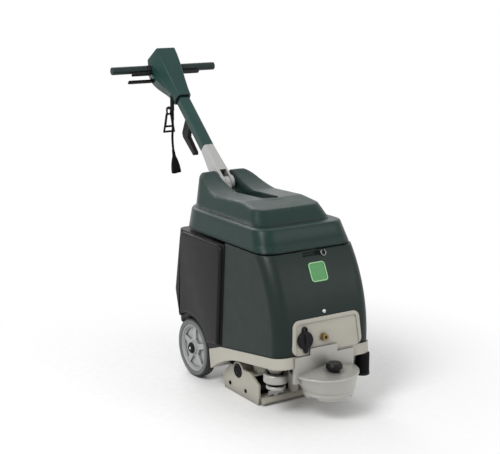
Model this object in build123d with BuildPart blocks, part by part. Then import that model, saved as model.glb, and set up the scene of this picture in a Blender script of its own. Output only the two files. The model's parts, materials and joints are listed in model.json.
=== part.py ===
from build123d import *
import math
import os

os.makedirs("parts", exist_ok=True)

# Walk-behind carpet extractor. Front faces -Y, the operator stands at +Y, the floor is Z = 0.
# Lengths are millimetres. Y values are given as distances from the wheel axle.

# Running gear
AXLE_Y = 48.36
WHEEL_R = 101.6
TYRE_W = 40.0
WHEEL_FACE_X = 178.0
AXLE_R = 8.0
RUN_FIT = 0.05
RIM_R = 81.6
RIM_T = 8.0
HUB_WEB = 9.0
HUB_BOSS_R = 22.0
HUB_FACE_X = 179.0
RIM_FACE_X = 175.0
HUB_RIBS = 5
SPOKE_W = (26.0, 15.0)
POCKET_OUT_R = 69.0
POCKET_IN_R = 31.0
POCKET_FLOOR = 3.5
HUB_CAP_R = 19.0
SPACER_R = 14.0

# Clearances
SEAT_GAP = 0.3

# Grey chassis moulding: a tray with an arched underside and a rear tongue between the wheels
BAND_HALF_W = 182.0
BAND_WALL = 7.0
BAND_FLOOR = 6.0
CORNER_R = 44.0
FRONT_LOW_Y = AXLE_Y - 540.0
BAND_FRONT_BOTTOM_Z = 178.0
BAND_FRONT_TOP_Z = 214.0
ARCH_FRONT = (AXLE_Y - 305.0, 143.0)
ARCH_MID = (AXLE_Y - 210.0, 114.0)
ARCH_REAR = (AXLE_Y - 131.0, 68.0)
BAND_REAR_TOP = (AXLE_Y - 121.0, 133.0)
BAND_KNEE = (AXLE_Y - 195.0, 160.0)
TONGUE_HALF_W = 126.0
TONGUE_REAR_Y = AXLE_Y + 66.0
TONGUE_TOP_Z = 150.0
TONGUE_WALL = 9.0
TONGUE_BOTTOM_Z = 80.0

# Green tank moulding
TANK_HALF_W = 179.0
TANK_WALL = 5.0
TANK_TOP_Z = 516.0
TANK_FRONT_TOP_Y = AXLE_Y - 448.0
TANK_FRONT_MID = (AXLE_Y - 508.0, 400.0)
TANK_FRONT_LOW_Y = AXLE_Y - 536.0
TANK_REAR_TOP_Y = AXLE_Y - 223.0
TANK_REAR_LOW_Y = AXLE_Y - 197.0
MOUTH_HALF_W = 152.0
MOUTH_MARGIN = 20.0
MOUTH_R = 40.0
FINGER_W = 70.0
FINGER_X = -4.0
FINGER_H = 15.0
FINGER_IN = 6.0

# Charcoal rear housing
POD_GAP = 6.0
POD_TOP_Z = 508.0
POD_REAR_TOP_Y = AXLE_Y + 92.0
POD_BULGE = (AXLE_Y + 132.0, 292.0)
POD_REAR_LOW = (AXLE_Y + 98.0, 196.0)
POD_WALL = 5.0
POD_EDGE_R = 10.0
POD_REAR_R = 34.0
ARCH_GAP = 12.0
WELL_X = 129.0

# Green lid
LID_BOTTOM_Z = 520.0
LID_LEDGE_Z = 588.0
LID_HALF_W = 177.0
LID_LEDGE_HALF_W = 166.0
LID_FRONT_Y = AXLE_Y - 444.0
LID_LEDGE_FRONT_Y = AXLE_Y - 408.0
LID_REAR_Y = AXLE_Y + 104.0
LID_LEDGE_REAR_Y = AXLE_Y + 100.0
LID_FRONT_R = 54.0
LID_REAR_R = 120.0
LID_WALL = 5.0
LID_FLANGE = 7.0
LID_EDGE_R = 9.0
DOME_FRONT_Y = AXLE_Y - 384.0
DOME_HALF_W = 152.0
DOME_PEAK_Z = 704.0
DOME_PEAK_FRONT_Y = AXLE_Y - 268.0
DOME_PEAK_HALF_W = 97.0
DOME_REAR_R = 112.0
DOME_PEAK_REAR_R = 30.0
DOME_FRONT_R = 44.0
DOME_PEAK_FRONT_R = 26.0
DOME_EDGE_R = 10.0
DOME_REAR_Y = AXLE_Y + 96.0
DOME_BROW_Z = 632.0
DOME_BROW_Y = AXLE_Y - 330.0
DOME_RIDGE = (AXLE_Y - 224.0, 646.0)
DOME_CREST = (AXLE_Y - 60.0, 640.0)
SCOOP_MID = (AXLE_Y + 14.0, 660.0)
EAR_TOP_Z = 691.0
EAR_FRONT_Y = AXLE_Y + 78.0
SLOT_HALF_W = 32.0
SLOT_FRONT_Y = AXLE_Y - 234.0
SLOT_FLOOR_Z = 602.0
NOTCH_FRONT_Y = AXLE_Y + 8.0

# Lid inside: float cage and ball; wire ring on the tank's front rim
CAGE_Y = AXLE_Y - 310.0
CAGE_Z = 540.0
CAGE_FLOOR = 3.0
CAGE_R = 22.0
CAGE_HOLE_R = 12.0
BALL_R = 16.0
RING_X = 38.0
RING_R = 9.0
RING_WIRE_R = 1.6
RING_HANG = math.radians(24.0)
RING_HOLE = (AXLE_Y - 456.0, 515.0)
RING_LUG_R = 4.5
RING_LUG_T = 3.0

# Inside the rear housing: pump on the tongue
PUMP_X = -50.0
PUMP_Y = AXLE_Y - 30.0
PUMP_R = 27.0
PUMP_BASE_W = 70.0
PUMP_BASE_L = 110.0
PUMP_BASE_T = 6.0
PUMP_MOTOR_L = 70.0
PUMP_HEAD_L = 36.0
PUMP_HEAD_W = 60.0
PUMP_SINK = 3.0

# Folding handle: its own axis leans back from the pivot
PIVOT_Y = AXLE_Y + 71.0
PIVOT_Z = 650.0
LEAN = math.radians(48.5)
PIN_R = 8.0
ARM_HALF_W = 25.0
ARM_KNUCKLE_R = 26.0
ARM_BEHIND = 14.0
ARM_END = 205.0
COLUMN_W = 42.0
COLUMN_D = 40.0
COLUMN_R = 9.0
COLUMN_WALL = 3.0
COLUMN_START = 160.0
TONGUE_HALF = 12.0
POST_R = 22.0
BAR_ALONG = 563.0
HEAD_ALONG = BAR_ALONG - 171.0
COLUMN_END = HEAD_ALONG + 26.0
BAR_BEHIND = 17.0
BAR_R = 11.0
BAR_HALF = 207.0
GRIP_R = 14.25
GRIP_IN = 72.0
GRIP_OUT = 213.0
HEAD_WALL = 3.0
COLLAR_T = 8.0
SPIGOT_GAP = 0.3
PLATE_END_T = 3.0
ROCKER_X = 17.0
ROCKER_Y = -14.0
ROCKER_W = 22.0
ROCKER_L = 15.0
ROCKER_H = 11.0
ROCKER_PIN_R = 1.4
TRIGGER_GAP = 4.5
TRIGGER_T = 6.5
TRIGGER_W = 14.0
TRIGGER_CHEEK = 2.5
TRIGGER_END_X = 140.0
BRACKET_X = (63.5, 71.5)
TRIGGER_PIN_R = 2.2
LEVER_ALONG = BAR_ALONG - 36.0
LEVER_BEHIND = 42.5
LEVER_END_X = 148.0
LEVER_PIVOT_X = 36.0
LEVER_W = 10.0
LEVER_T = 9.0
LEVER_PIN_R = 4.0
HOOK_W = 16.0
HOOK_X = -6.0
HOOK_OUTLINE = (
    (COLUMN_D / 2, 316.0), (COLUMN_D / 2, 276.0), (50.0, 268.0), (58.0, 262.0), (62.0, 193.0),
    (70.0, 187.0), (78.0, 193.0), (84.0, 285.0), (76.0, 300.0),
)

# Cord: it leaves a gland under the handle head and hangs straight down
GLAND_X = -26.0
GLAND_Y = PIVOT_Y + HEAD_ALONG * math.sin(LEAN) + 30.91
GLAND_LOW_Z = PIVOT_Z + HEAD_ALONG * math.cos(LEAN) - 41.75
GLAND_Z = (GLAND_LOW_Z, GLAND_LOW_Z + 54.0)
GLAND_R = 7.5
CORD_R = 4.25
PLUG_Z = GLAND_LOW_Z - 168.0
PLUG_L = 62.0
PLUG_SECTIONS = ((0.0, 13.0, 13.0, 6.0), (36.0, 30.0, 22.0, 7.0), (PLUG_L, 34.0, 24.0, 8.0))
PEG_R = 3.0
PEG_Z = GLAND_LOW_Z + 6.0
BUCKLE_X = -34.0
BUCKLE_BEHIND = 9.0
BUCKLE_T = 5.0
EYE_W = 21.0
EYE_H = 30.0
FRAME_W = 48.0
FRAME_H = 70.0

# Cleaning head
PLATE_X = 140.0
PLATE_T = 8.0
ROLLER_Z = 26.5
BRISTLE_GAP = 1.0
REAR_ROLLER_Y = AXLE_Y - 188.0
FRONT_ROLLER_Y = AXLE_Y - 284.0
SHAFT_R = 6.0
CORE_R = 15.0
SLEEVE_T = 2.0
MOTOR_Y = AXLE_Y - 236.0
MOTOR_Z = 82.0
MOTOR_R = 29.0
DECK_Z = 86.0
DECK_T = 5.0
PULLEY_R = 16.0
MOTOR_PULLEY_R = 10.0
BELT_T = 2.0
BELT_W = 10.0
BELT_X = PLATE_X + 3.0
MOTOR_LEFT_X = 128.0
MOTOR_RIGHT_X = 118.0
MOTOR_HOLE_R = 24.0
PLATE_OUTLINE = (
    (AXLE_Y - 139.0, 44.0), (AXLE_Y - 151.0, 0.0), (AXLE_Y - 360.0, 0.0),
    (AXLE_Y - 361.0, 68.0), (AXLE_Y - 309.0, 97.0), (AXLE_Y - 188.0, 95.0),
)
PLATE_EAR_R = 33.0
DECK_FRONT_Y = AXLE_Y - 322.0
DECK_REAR_Y = AXLE_Y - 150.0
HUMP_T = 3.5
POST_X = 100.0
SHOE_FRONT_Y = AXLE_Y - 376.0
SHOE_REAR_Y = AXLE_Y - 336.0
SHOE_TOP_Z = 26.0
SHOE_NOSE_Z = 12.0
SHOE_CORNER_R = 12.0
SHOE_LIP_Z = 3.0
SHOE_WALL = 5.0
SHOE_DUCT_R = 17.0
CLIP_X = 76.0
CLIP_W = 58.0
CLIP_H = 19.0
CLIP_T = 4.0
CLIP_FOOT_W = 18.0
CLIP_Y = SHOE_FRONT_Y + 10.0
SPRAY_R = 7.0
SPRAY_Y = AXLE_Y - 179.0
NOZZLE_X = 80.0
COVER_GAP = 2.5
COVER_T = 2.5
COVER_FACE_X = 159.0
BRUSH_HALF_W = 124.0
STRAND_T = 2.0
STRANDS_ROUND = 10
STRAND_ROWS = 19

# Front drum with the suction motor, and what sits on the front
DRUM_Y = AXLE_Y - 545.0
DRUM_TOP_X = -9.0
DRUM_TOP_Y = AXLE_Y - 537.0
DRUM_RIM_R = 110.0
DRUM_RIM_Z = 153.0
DRUM_RIM_T = 7.0
DRUM_TOP_Z = 172.0
DRUM_BODY_R = 105.0
DRUM_CAVITY_R = 88.0
DRUM_BOTTOM_R = 86.0
DRUM_STEP_Z = 100.0
DRUM_LIP_R = 82.0
DRUM_LIP_Z = 84.0
DRUM_FOOT_Z = 75.0
DRUM_WALL = 4.0
DUCT_R = 34.0
NECK_FRONT_Y = AXLE_Y - 547.5
NECK_LEFT_X = -127.0
NECK_BOTTOM_Z = 127.0
NECK_RIGHT_X = 98.0
NECK_STEPS = ((NECK_LEFT_X, 212.0), (-70.0, 233.0), (34.0, 208.0))
KNOB_X = -8.0
KNOB_Y = AXLE_Y - 588.0
KNOB_R = 26.5
KNOB_WAIST_R = 17.0
KNOB_STEM_R = 13.0
KNOB_Z = (170.0, 189.0)
FAN_R = 68.0
FAN_Z = 92.0
FAN_H = 14.0
FAN_BLADES = 8
VAC_MOTOR_R = 48.0
VAC_MOTOR_Z = (108.0, 142.0)
VAC_SHAFT_R = 5.0
PANEL_TOP_Z = 324.0
PANEL_TOP_Y = AXLE_Y - 525.0
PANEL_LOW_Y = AXLE_Y - 537.0
PANEL_HALF_W = 126.0
PANEL_LOW_HALF_W = 134.0
PANEL_PROUD = 8.0
PANEL_CORNER_R = 24.0
PANEL_EDGE_R = 2.5
PANEL_RIM_W = 12.0
PANEL_RIM_T = 3.0
PORT_X = -85.0
PORT_Z = 260.0
PORT_R = 22.0
CAP_R = 28.0
CAP_T = 10.0
TAB_T = 6.0
EYELET_R = 9.5
STEM_L = 12.0
COUPLER_X = -15.0
COUPLER_BASE_R = 13.0
COUPLER_BASE_T = 4.0
COUPLER_R = 10.5
COUPLER_L = 12.0
COUPLER_BORE_R = 5.0
BADGE_X = 0.0
BADGE_POINT = (AXLE_Y - 483.5, 455.0)
BADGE_LEAN = math.radians(26.5)
BADGE_W = 65.0
BADGE_R = 12.0
BADGE_T = 3.0
BUMPER_X = 137.0
BUMPER_Y = AXLE_Y - 456.0
BUMPER_R = 39.5
BUMPER_Z = (112.0, 142.0)
BUMPER_SEAT_Z = 130.0
BUMPER_DISH_R = 28.0
BUMPER_BOSS_R = 15.0
BUMPER_BOLT_R = 5.0
BOLT_HEAD_R = 9.0
HOSE_X = 151.0
HOSE_Y = AXLE_Y - 524.0
HOSE_R = 23.0
HOSE_BORE_R = 18.0
HOSE_END_Z = 112.0

HANDLE = Plane(origin=(0, PIVOT_Y, PIVOT_Z), x_dir=(1, 0, 0), z_dir=(0, math.sin(LEAN), math.cos(LEAN)))
PANEL_LEAN = math.atan2(PANEL_TOP_Y - PANEL_LOW_Y, PANEL_TOP_Z - BAND_FRONT_TOP_Z)
PANEL_OUT = Vector(0, -math.cos(PANEL_LEAN), math.sin(PANEL_LEAN))


def save(part, name):
    """Label a finished piece and write it."""
    part.label = name
    export_step(part, f"parts/{name}.step")


def panel_plane(x, z, out=0.0):
    """Plane on the front panel's back face, x to the right as seen from the front, facing out."""
    rise = z - BAND_FRONT_TOP_Z
    y = PANEL_LOW_Y + rise * math.tan(PANEL_LEAN)
    return Plane(origin=Vector(x, y, z) + PANEL_OUT * out, x_dir=(1, 0, 0), z_dir=PANEL_OUT)


def plan_outline(z, half_w, y_front, y_rear, r_front, r_rear):
    """Level outline, square to the machine, with its own front and rear corner radii."""
    with BuildSketch(Plane.XY.offset(z)) as outline:
        with Locations((0, (y_front + y_rear) / 2)):
            Rectangle(2 * half_w, y_rear - y_front)
        fillet(outline.vertices().group_by(Axis.Y)[0], r_front)
        fillet(outline.vertices().group_by(Axis.Y)[-1], r_rear)
    return outline.sketch


def section(plane, width, depth, radius):
    """Rounded rectangle square to the handle."""
    with BuildSketch(plane) as outline:
        RectangleRounded(width, depth, radius)
    return outline.sketch


def tank_profile(inset):
    """Side outline of the tank, drawn in by a wall thickness."""
    slope = (BAND_FRONT_TOP_Z - BAND_KNEE[1]) / (BAND_KNEE[0] - FRONT_LOW_Y)
    low_rear_z = BAND_KNEE[1] + slope * (BAND_KNEE[0] - TANK_REAR_LOW_Y)
    low_front_z = BAND_KNEE[1] + slope * (BAND_KNEE[0] - TANK_FRONT_LOW_Y)
    with BuildSketch(Plane.YZ) as profile:
        with BuildLine():
            front = ThreePointArc(
                (TANK_FRONT_TOP_Y, TANK_TOP_Z), TANK_FRONT_MID, (TANK_FRONT_LOW_Y, low_front_z)
            )
            Polyline(front @ 1, (TANK_REAR_LOW_Y, low_rear_z), (TANK_REAR_TOP_Y, TANK_TOP_Z), front @ 0)
        make_face()
        if inset > 0:
            offset(amount=-inset, kind=Kind.INTERSECTION, mode=Mode.REPLACE)
    return profile.sketch


def band_profile(rise, inset):
    """Side outline of the chassis tray; rise lifts its floor and inset draws its ends in."""
    low_front = (FRONT_LOW_Y - 3 + inset, BAND_FRONT_BOTTOM_Z + rise)
    with BuildSketch(Plane.YZ) as profile:
        with BuildLine():
            arch = ThreePointArc(
                (ARCH_FRONT[0], ARCH_FRONT[1] + rise),
                (ARCH_MID[0], ARCH_MID[1] + rise),
                (ARCH_REAR[0] - inset, ARCH_REAR[1] + rise),
            )
            Polyline(
                arch @ 1,
                (BAND_REAR_TOP[0] - inset, BAND_REAR_TOP[1] + rise),
                (BAND_KNEE[0], BAND_KNEE[1] + rise),
                (FRONT_LOW_Y + inset, BAND_FRONT_TOP_Z + rise),
                low_front,
                arch @ 0,
            )
        make_face()
    return profile.sketch


def wide_block(profile, half_w, corner_r):
    """Side outline carried across the machine, with its two upright front corners rounded."""
    with BuildPart() as block:
        extrude(profile, amount=half_w, both=True)
        sides = block.faces().filter_by(Axis.X)
        uprights = [side.edges().sort_by(Axis.Y)[0] for side in sides]
        fillet(uprights, corner_r)
    return block.part


def head_section(along, front, y_front, wide, y_wide, rear, y_rear, inset):
    """Six-sided section of the handle head, wider towards the operator."""
    with BuildSketch(HANDLE.offset(along)) as outline:
        Polygon(
            (-front, y_front), (front, y_front), (wide, y_wide),
            (rear, y_rear), (-rear, y_rear), (-wide, y_wide), align=None,
        )
        fillet(outline.vertices(), 7.0)
        if inset > 0:
            offset(amount=-inset, mode=Mode.REPLACE)
    return outline.sketch


HEAD_STATIONS = [
    (HEAD_ALONG, 25.0, -27.0, 30.0, 0.0, 25.0, 27.0),
    (HEAD_ALONG + 88.0, 31.0, -37.0, 47.0, 12.0, 33.0, 53.0),
    (HEAD_ALONG + 168.0, 37.0, -48.0, 61.0, 18.0, 46.0, 64.0),
    (HEAD_ALONG + 206.0, 38.0, -52.0, 55.0, 8.0, 40.0, 44.0),
]


def head_block(inset):
    """Handle head as a smooth loft, drawn in by a wall thickness."""
    with BuildPart() as block:
        loft([head_section(*station, inset) for station in HEAD_STATIONS])
    return block.part


TANK_SOLID = wide_block(tank_profile(0), TANK_HALF_W, CORNER_R)
CHASSIS_SOLID = wide_block(band_profile(0, 0), BAND_HALF_W, CORNER_R)

# Chassis tray with rear tongue, axle bores, and a boss and stud for each bumper wheel
with BuildPart() as base_frame:
    add(CHASSIS_SOLID)
    tray = wide_block(band_profile(BAND_FLOOR, BAND_WALL), BAND_HALF_W - BAND_WALL, CORNER_R - BAND_WALL)
    add(tray, mode=Mode.SUBTRACT)
    with BuildSketch(Plane.XZ.offset(-TONGUE_REAR_Y)):
        with Locations((0, (TONGUE_TOP_Z + TONGUE_BOTTOM_Z) / 2)):
            Rectangle(2 * TONGUE_HALF_W, TONGUE_TOP_Z - TONGUE_BOTTOM_Z)
        with Locations((0, (TONGUE_TOP_Z + TONGUE_BOTTOM_Z) / 2 - TONGUE_WALL)):
            Rectangle(2 * (TONGUE_HALF_W - TONGUE_WALL), TONGUE_TOP_Z - TONGUE_BOTTOM_Z, mode=Mode.SUBTRACT)
    extrude(amount=TONGUE_REAR_Y - ARCH_REAR[0] + BAND_WALL)
    with BuildSketch(Plane.YZ.offset(-BAND_HALF_W)):
        with Locations((AXLE_Y, WHEEL_R)):
            Circle(AXLE_R + RUN_FIT)
    extrude(amount=2 * BAND_HALF_W, mode=Mode.SUBTRACT)
    with BuildSketch(Plane.XY.offset(BUMPER_SEAT_Z + SEAT_GAP)):
        with Locations((-BUMPER_X, BUMPER_Y), (BUMPER_X, BUMPER_Y)):
            Circle(BUMPER_BOSS_R)
    extrude(amount=ARCH_FRONT[1] + 26.0 - BUMPER_SEAT_Z, taper=-24)
    with BuildSketch(Plane.XY.offset(BUMPER_Z[0])):
        with Locations((-BUMPER_X, BUMPER_Y), (BUMPER_X, BUMPER_Y)):
            Circle(BUMPER_BOLT_R)
    extrude(amount=BUMPER_Z[1] - BUMPER_Z[0])
    with BuildSketch(Plane.XY.offset(BUMPER_Z[0] - SEAT_GAP)):
        with Locations((-BUMPER_X, BUMPER_Y), (BUMPER_X, BUMPER_Y)):
            RegularPolygon(BOLT_HEAD_R, 6)
    extrude(amount=-6.0)
    with BuildSketch(Plane.XY.offset(BUMPER_Z[0] - SEAT_GAP)):
        with Locations((-BUMPER_X, BUMPER_Y), (BUMPER_X, BUMPER_Y)):
            Circle(BUMPER_BOLT_R)
    extrude(amount=2 * SEAT_GAP)
save(base_frame.part, "base_frame")

# Tank moulding, open at its mouth under the lid, with a front port, a finger recess and the ring's lug
with BuildPart() as tank_body:
    add(TANK_SOLID)
    hollow = wide_block(tank_profile(TANK_WALL), TANK_HALF_W - TANK_WALL, CORNER_R - TANK_WALL)
    add(hollow, mode=Mode.SUBTRACT)
    mouth = plan_outline(
        TANK_TOP_Z - 2 * TANK_WALL, MOUTH_HALF_W, TANK_FRONT_TOP_Y + MOUTH_MARGIN,
        TANK_REAR_TOP_Y - MOUTH_MARGIN, MOUTH_R, MOUTH_R,
    )
    extrude(mouth, amount=4 * TANK_WALL, mode=Mode.SUBTRACT)
    with BuildSketch(panel_plane(PORT_X, PORT_Z, -4 * TANK_WALL)):
        Circle(PORT_R + 2 * SEAT_GAP)
    extrude(amount=8 * TANK_WALL, mode=Mode.SUBTRACT)
    with BuildPart(mode=Mode.PRIVATE) as finger_backing:
        with BuildSketch(Plane.XY.offset(TANK_TOP_Z - FINGER_H - TANK_WALL)):
            with Locations((FINGER_X, TANK_FRONT_TOP_Y)):
                Rectangle(FINGER_W + 2 * TANK_WALL, 2 * FINGER_IN + 2 * TANK_WALL)
        extrude(amount=FINGER_H + TANK_WALL)
        add(TANK_SOLID, mode=Mode.INTERSECT)
    add(finger_backing.part)
    with BuildSketch(Plane.XY.offset(TANK_TOP_Z - FINGER_H)):
        with Locations((FINGER_X, TANK_FRONT_TOP_Y - FINGER_H + FINGER_IN)):
            RectangleRounded(FINGER_W, 2 * FINGER_H, 4)
    extrude(amount=2 * FINGER_H, mode=Mode.SUBTRACT)
    with BuildSketch(Plane.YZ.offset(RING_X - RING_LUG_T / 2)):
        with Locations(RING_HOLE):
            Circle(RING_LUG_R)
        Polygon(
            (RING_HOLE[0], RING_HOLE[1] + RING_LUG_R), (TANK_FRONT_TOP_Y + 2, TANK_TOP_Z - 2),
            (TANK_FRONT_TOP_Y - 4, TANK_TOP_Z - 14), (RING_HOLE[0], RING_HOLE[1] - RING_LUG_R), align=None,
        )
        with Locations(RING_HOLE):
            Circle(RING_WIRE_R + 2 * SEAT_GAP, mode=Mode.SUBTRACT)
    extrude(amount=RING_LUG_T)
save(tank_body.part, "tank_body")


def pod_profile(inset):
    """Side outline of the rear housing, drawn in by a wall thickness."""
    knee_slope = (BAND_KNEE[1] - BAND_REAR_TOP[1]) / (BAND_REAR_TOP[0] - BAND_KNEE[0])
    low_y = TANK_REAR_LOW_Y + POD_GAP
    low_z = BAND_KNEE[1] - knee_slope * (low_y - BAND_KNEE[0])
    with BuildSketch(Plane.YZ) as profile:
        with BuildLine():
            Polyline(
                (TANK_REAR_TOP_Y + POD_GAP + 1, POD_TOP_Z), (low_y, low_z), BAND_REAR_TOP,
                (AXLE_Y - WHEEL_R, TONGUE_TOP_Z), (POD_REAR_LOW[0] - 4, TONGUE_TOP_Z), POD_REAR_LOW,
                POD_BULGE, (POD_REAR_TOP_Y, POD_TOP_Z), close=True,
            )
        make_face()
        fillet(profile.vertices().sort_by(Axis.X)[-1], POD_REAR_R)
        if inset > 0:
            offset(amount=-inset, kind=Kind.INTERSECTION, mode=Mode.REPLACE)
    return profile.sketch


# Rear housing, hollow and open underneath, with a well for each wheel
with BuildPart() as rear_housing:
    extrude(pod_profile(0), amount=TANK_HALF_W, both=True)
    sides = rear_housing.faces().filter_by(Axis.X)
    rear_edges = [e for side in sides for e in side.edges() if e.center().Y > POD_REAR_TOP_Y - POD_EDGE_R]
    fillet(rear_edges, POD_REAR_R - 4)
    sides = rear_housing.faces().filter_by(Axis.X)
    fillet([side.edges().sort_by(Axis.Y)[0] for side in sides], POD_EDGE_R)
    with BuildSketch(Plane.YZ.offset(WELL_X), Plane.YZ.offset(-TANK_HALF_W - 1)):
        with Locations((AXLE_Y, WHEEL_R)):
            Circle(WHEEL_R + ARCH_GAP)
    extrude(amount=TANK_HALF_W + 1 - WELL_X, mode=Mode.SUBTRACT)
    with BuildSketch(Plane.XY):
        with Locations((0, (ARCH_REAR[0] - BAND_WALL + POD_BULGE[0]) / 2)):
            Rectangle(2 * TONGUE_HALF_W, POD_BULGE[0] - ARCH_REAR[0] + BAND_WALL)
    extrude(amount=TONGUE_TOP_Z, mode=Mode.SUBTRACT)
    extrude(pod_profile(POD_WALL), amount=WELL_X - POD_WALL, both=True, mode=Mode.SUBTRACT)
    with BuildSketch(Plane.XY.offset(2 * WHEEL_R + ARCH_GAP + POD_WALL)):
        with Locations((0, (TANK_REAR_TOP_Y + POD_GAP + POD_REAR_TOP_Y) / 2)):
            Rectangle(2 * (TANK_HALF_W - POD_WALL), POD_REAR_TOP_Y - TANK_REAR_TOP_Y - POD_GAP - 60)
    extrude(amount=POD_TOP_Z - POD_WALL - 2 * WHEEL_R - ARCH_GAP - POD_WALL, mode=Mode.SUBTRACT)
    with BuildSketch(Plane.XY.offset(TONGUE_TOP_Z - POD_WALL)):
        with Locations((0, (AXLE_Y - WHEEL_R + POD_REAR_LOW[0]) / 2)):
            Rectangle(2 * (WELL_X - POD_WALL), POD_REAR_LOW[0] - AXLE_Y + WHEEL_R - 12)
    extrude(amount=3 * POD_WALL, mode=Mode.SUBTRACT)
save(rear_housing.part, "rear_housing")


def lid_top(drop):
    """Side outline below the lid's upper surface: brow, ridge, crest and the rise to the ears."""
    slope = (DOME_RIDGE[1] - DOME_BROW_Z) / (DOME_RIDGE[0] - DOME_BROW_Y)
    start_z = DOME_BROW_Z - slope * (DOME_BROW_Y - LID_FRONT_Y)
    with BuildSketch(Plane.YZ) as profile:
        with BuildLine():
            scoop = ThreePointArc(
                (DOME_CREST[0], DOME_CREST[1] - drop), (SCOOP_MID[0], SCOOP_MID[1] - drop),
                (EAR_FRONT_Y, EAR_TOP_Z - drop),
            )
            Polyline(
                scoop @ 1, (LID_REAR_Y, EAR_TOP_Z - drop), (LID_REAR_Y, LID_BOTTOM_Z),
                (LID_FRONT_Y, LID_BOTTOM_Z), (LID_FRONT_Y, start_z - drop),
                (DOME_RIDGE[0], DOME_RIDGE[1] - drop), scoop @ 0,
            )
        make_face()
    return profile.sketch


def lid_dome(wall):
    """Raised middle of the lid, tapering upwards to the ears."""
    base_z = LID_LEDGE_Z - LID_EDGE_R - 2 * LID_WALL
    with BuildPart() as dome:
        loft([
            plan_outline(base_z, DOME_HALF_W - wall, DOME_FRONT_Y + wall, DOME_REAR_Y - wall,
                         DOME_FRONT_R - wall, DOME_REAR_R - wall),
            plan_outline(DOME_PEAK_Z, DOME_PEAK_HALF_W - wall, DOME_PEAK_FRONT_Y + wall, DOME_REAR_Y - wall,
                         DOME_PEAK_FRONT_R - wall, DOME_PEAK_REAR_R - wall),
        ])
        extrude(lid_top(wall), amount=LID_HALF_W, both=True, mode=Mode.INTERSECT)
        if wall == 0:
            tops = dome.faces().filter_by(lambda f: f.normal_at().Z > 0.8 and f.center().Z > LID_LEDGE_Z)
            top_edges = [edge for face in tops for edge in face.edges()]
            outer = [edge for edge in top_edges if sum(edge.is_same(other) for other in top_edges) == 1]
            fillet(outer, DOME_EDGE_R)
    return dome.part


def lid_band(wall, low_z, high_z):
    """Skirt of the lid, leaning in towards its ledge."""
    with BuildPart() as band:
        loft([
            plan_outline(low_z, LID_HALF_W - wall, LID_FRONT_Y + wall, LID_REAR_Y - wall,
                         LID_FRONT_R - wall, LID_REAR_R - wall),
            plan_outline(high_z, LID_LEDGE_HALF_W - wall, LID_LEDGE_FRONT_Y + wall, LID_LEDGE_REAR_Y - wall,
                         LID_FRONT_R - wall, LID_REAR_R - wall),
        ])
    return band.part


def lid_slot(margin):
    """Space that the folding arm drops into: a sloping slot, and a notch round the post behind it."""
    rear_y = LID_REAR_Y + 3 * LID_WALL
    front_y = SLOT_FRONT_Y - 6 * margin - 1
    front_z = DOME_RIDGE[1] - 1.0
    below_z = LID_BOTTOM_Z - 2 * LID_WALL
    with BuildPart() as slot:
        with BuildSketch(Plane.YZ):
            with BuildLine():
                Polyline(
                    (front_y, front_z - margin), (NOTCH_FRONT_Y - margin, SLOT_FLOOR_Z - margin),
                    (NOTCH_FRONT_Y - margin, below_z), (rear_y, below_z), (rear_y, DOME_PEAK_Z),
                    (front_y, DOME_PEAK_Z), close=True,
                )
            make_face()
        extrude(amount=SLOT_HALF_W + margin, both=True)
        plan = plan_outline(
            LID_BOTTOM_Z - 3 * LID_WALL, SLOT_HALF_W + margin, SLOT_FRONT_Y - margin, rear_y,
            SLOT_HALF_W - 2, 1,
        )
        extrude(plan, amount=DOME_PEAK_Z - LID_BOTTOM_Z + 6 * LID_WALL, mode=Mode.INTERSECT)
    return slot.part


# Lid: skirt, raised dome with two ears, the slot between them, and a float cage under the dome
with BuildPart() as tank_lid:
    add(lid_band(0, LID_BOTTOM_Z, LID_LEDGE_Z))
    fillet(tank_lid.faces().sort_by(Axis.Z)[-1].edges(), LID_EDGE_R)
    add(lid_dome(0))
    with BuildPart(mode=Mode.PRIVATE) as lid_hollow:
        add(lid_band(LID_WALL, LID_BOTTOM_Z + LID_FLANGE, LID_LEDGE_Z - LID_WALL - 2))
        add(lid_dome(LID_WALL))
        mouth = plan_outline(
            LID_BOTTOM_Z - LID_WALL, MOUTH_HALF_W, TANK_FRONT_TOP_Y + MOUTH_MARGIN,
            TANK_REAR_TOP_Y - MOUTH_MARGIN, MOUTH_R, MOUTH_R,
        )
        extrude(mouth, amount=LID_WALL + LID_FLANGE + 1)
        add(lid_slot(LID_WALL), mode=Mode.SUBTRACT)
    add(lid_hollow.part, mode=Mode.SUBTRACT)
    add(lid_slot(0), mode=Mode.SUBTRACT)
    with BuildSketch(Plane.XY.offset(CAGE_Z)):
        with Locations((0, CAGE_Y)):
            Circle(CAGE_R)
            Circle(CAGE_HOLE_R, mode=Mode.SUBTRACT)
    extrude(amount=CAGE_FLOOR)
    with BuildSketch(Plane.XY.offset(CAGE_Z)):
        with Locations((0, CAGE_Y)):
            with PolarLocations(CAGE_R - 2.5, 4, 45):
                Rectangle(5.0, 6.0)
    extrude(amount=DOME_BROW_Z - 0.5 - CAGE_Z)
save(tank_lid.part, "tank_lid")

# Seal between lid and tank rim
with BuildPart() as lid_gasket:
    for grow, mode in ((11.0, Mode.ADD), (3.0, Mode.SUBTRACT)):
        ring = plan_outline(
            TANK_TOP_Z + SEAT_GAP, MOUTH_HALF_W + grow, TANK_FRONT_TOP_Y + MOUTH_MARGIN - grow,
            TANK_REAR_TOP_Y - MOUTH_MARGIN + grow, MOUTH_R + grow, MOUTH_R + grow,
        )
        extrude(ring, amount=LID_BOTTOM_Z - TANK_TOP_Z - SEAT_GAP, mode=mode)
save(lid_gasket.part, "lid_gasket")

# Ball that floats up in the lid's cage and shuts the suction when the tank is full
with BuildPart() as float_ball:
    with Locations((0, CAGE_Y, CAGE_Z + CAGE_FLOOR + SEAT_GAP + math.sqrt(BALL_R**2 - CAGE_HOLE_R**2))):
        Sphere(BALL_R)
save(float_ball.part, "float_ball")

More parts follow.
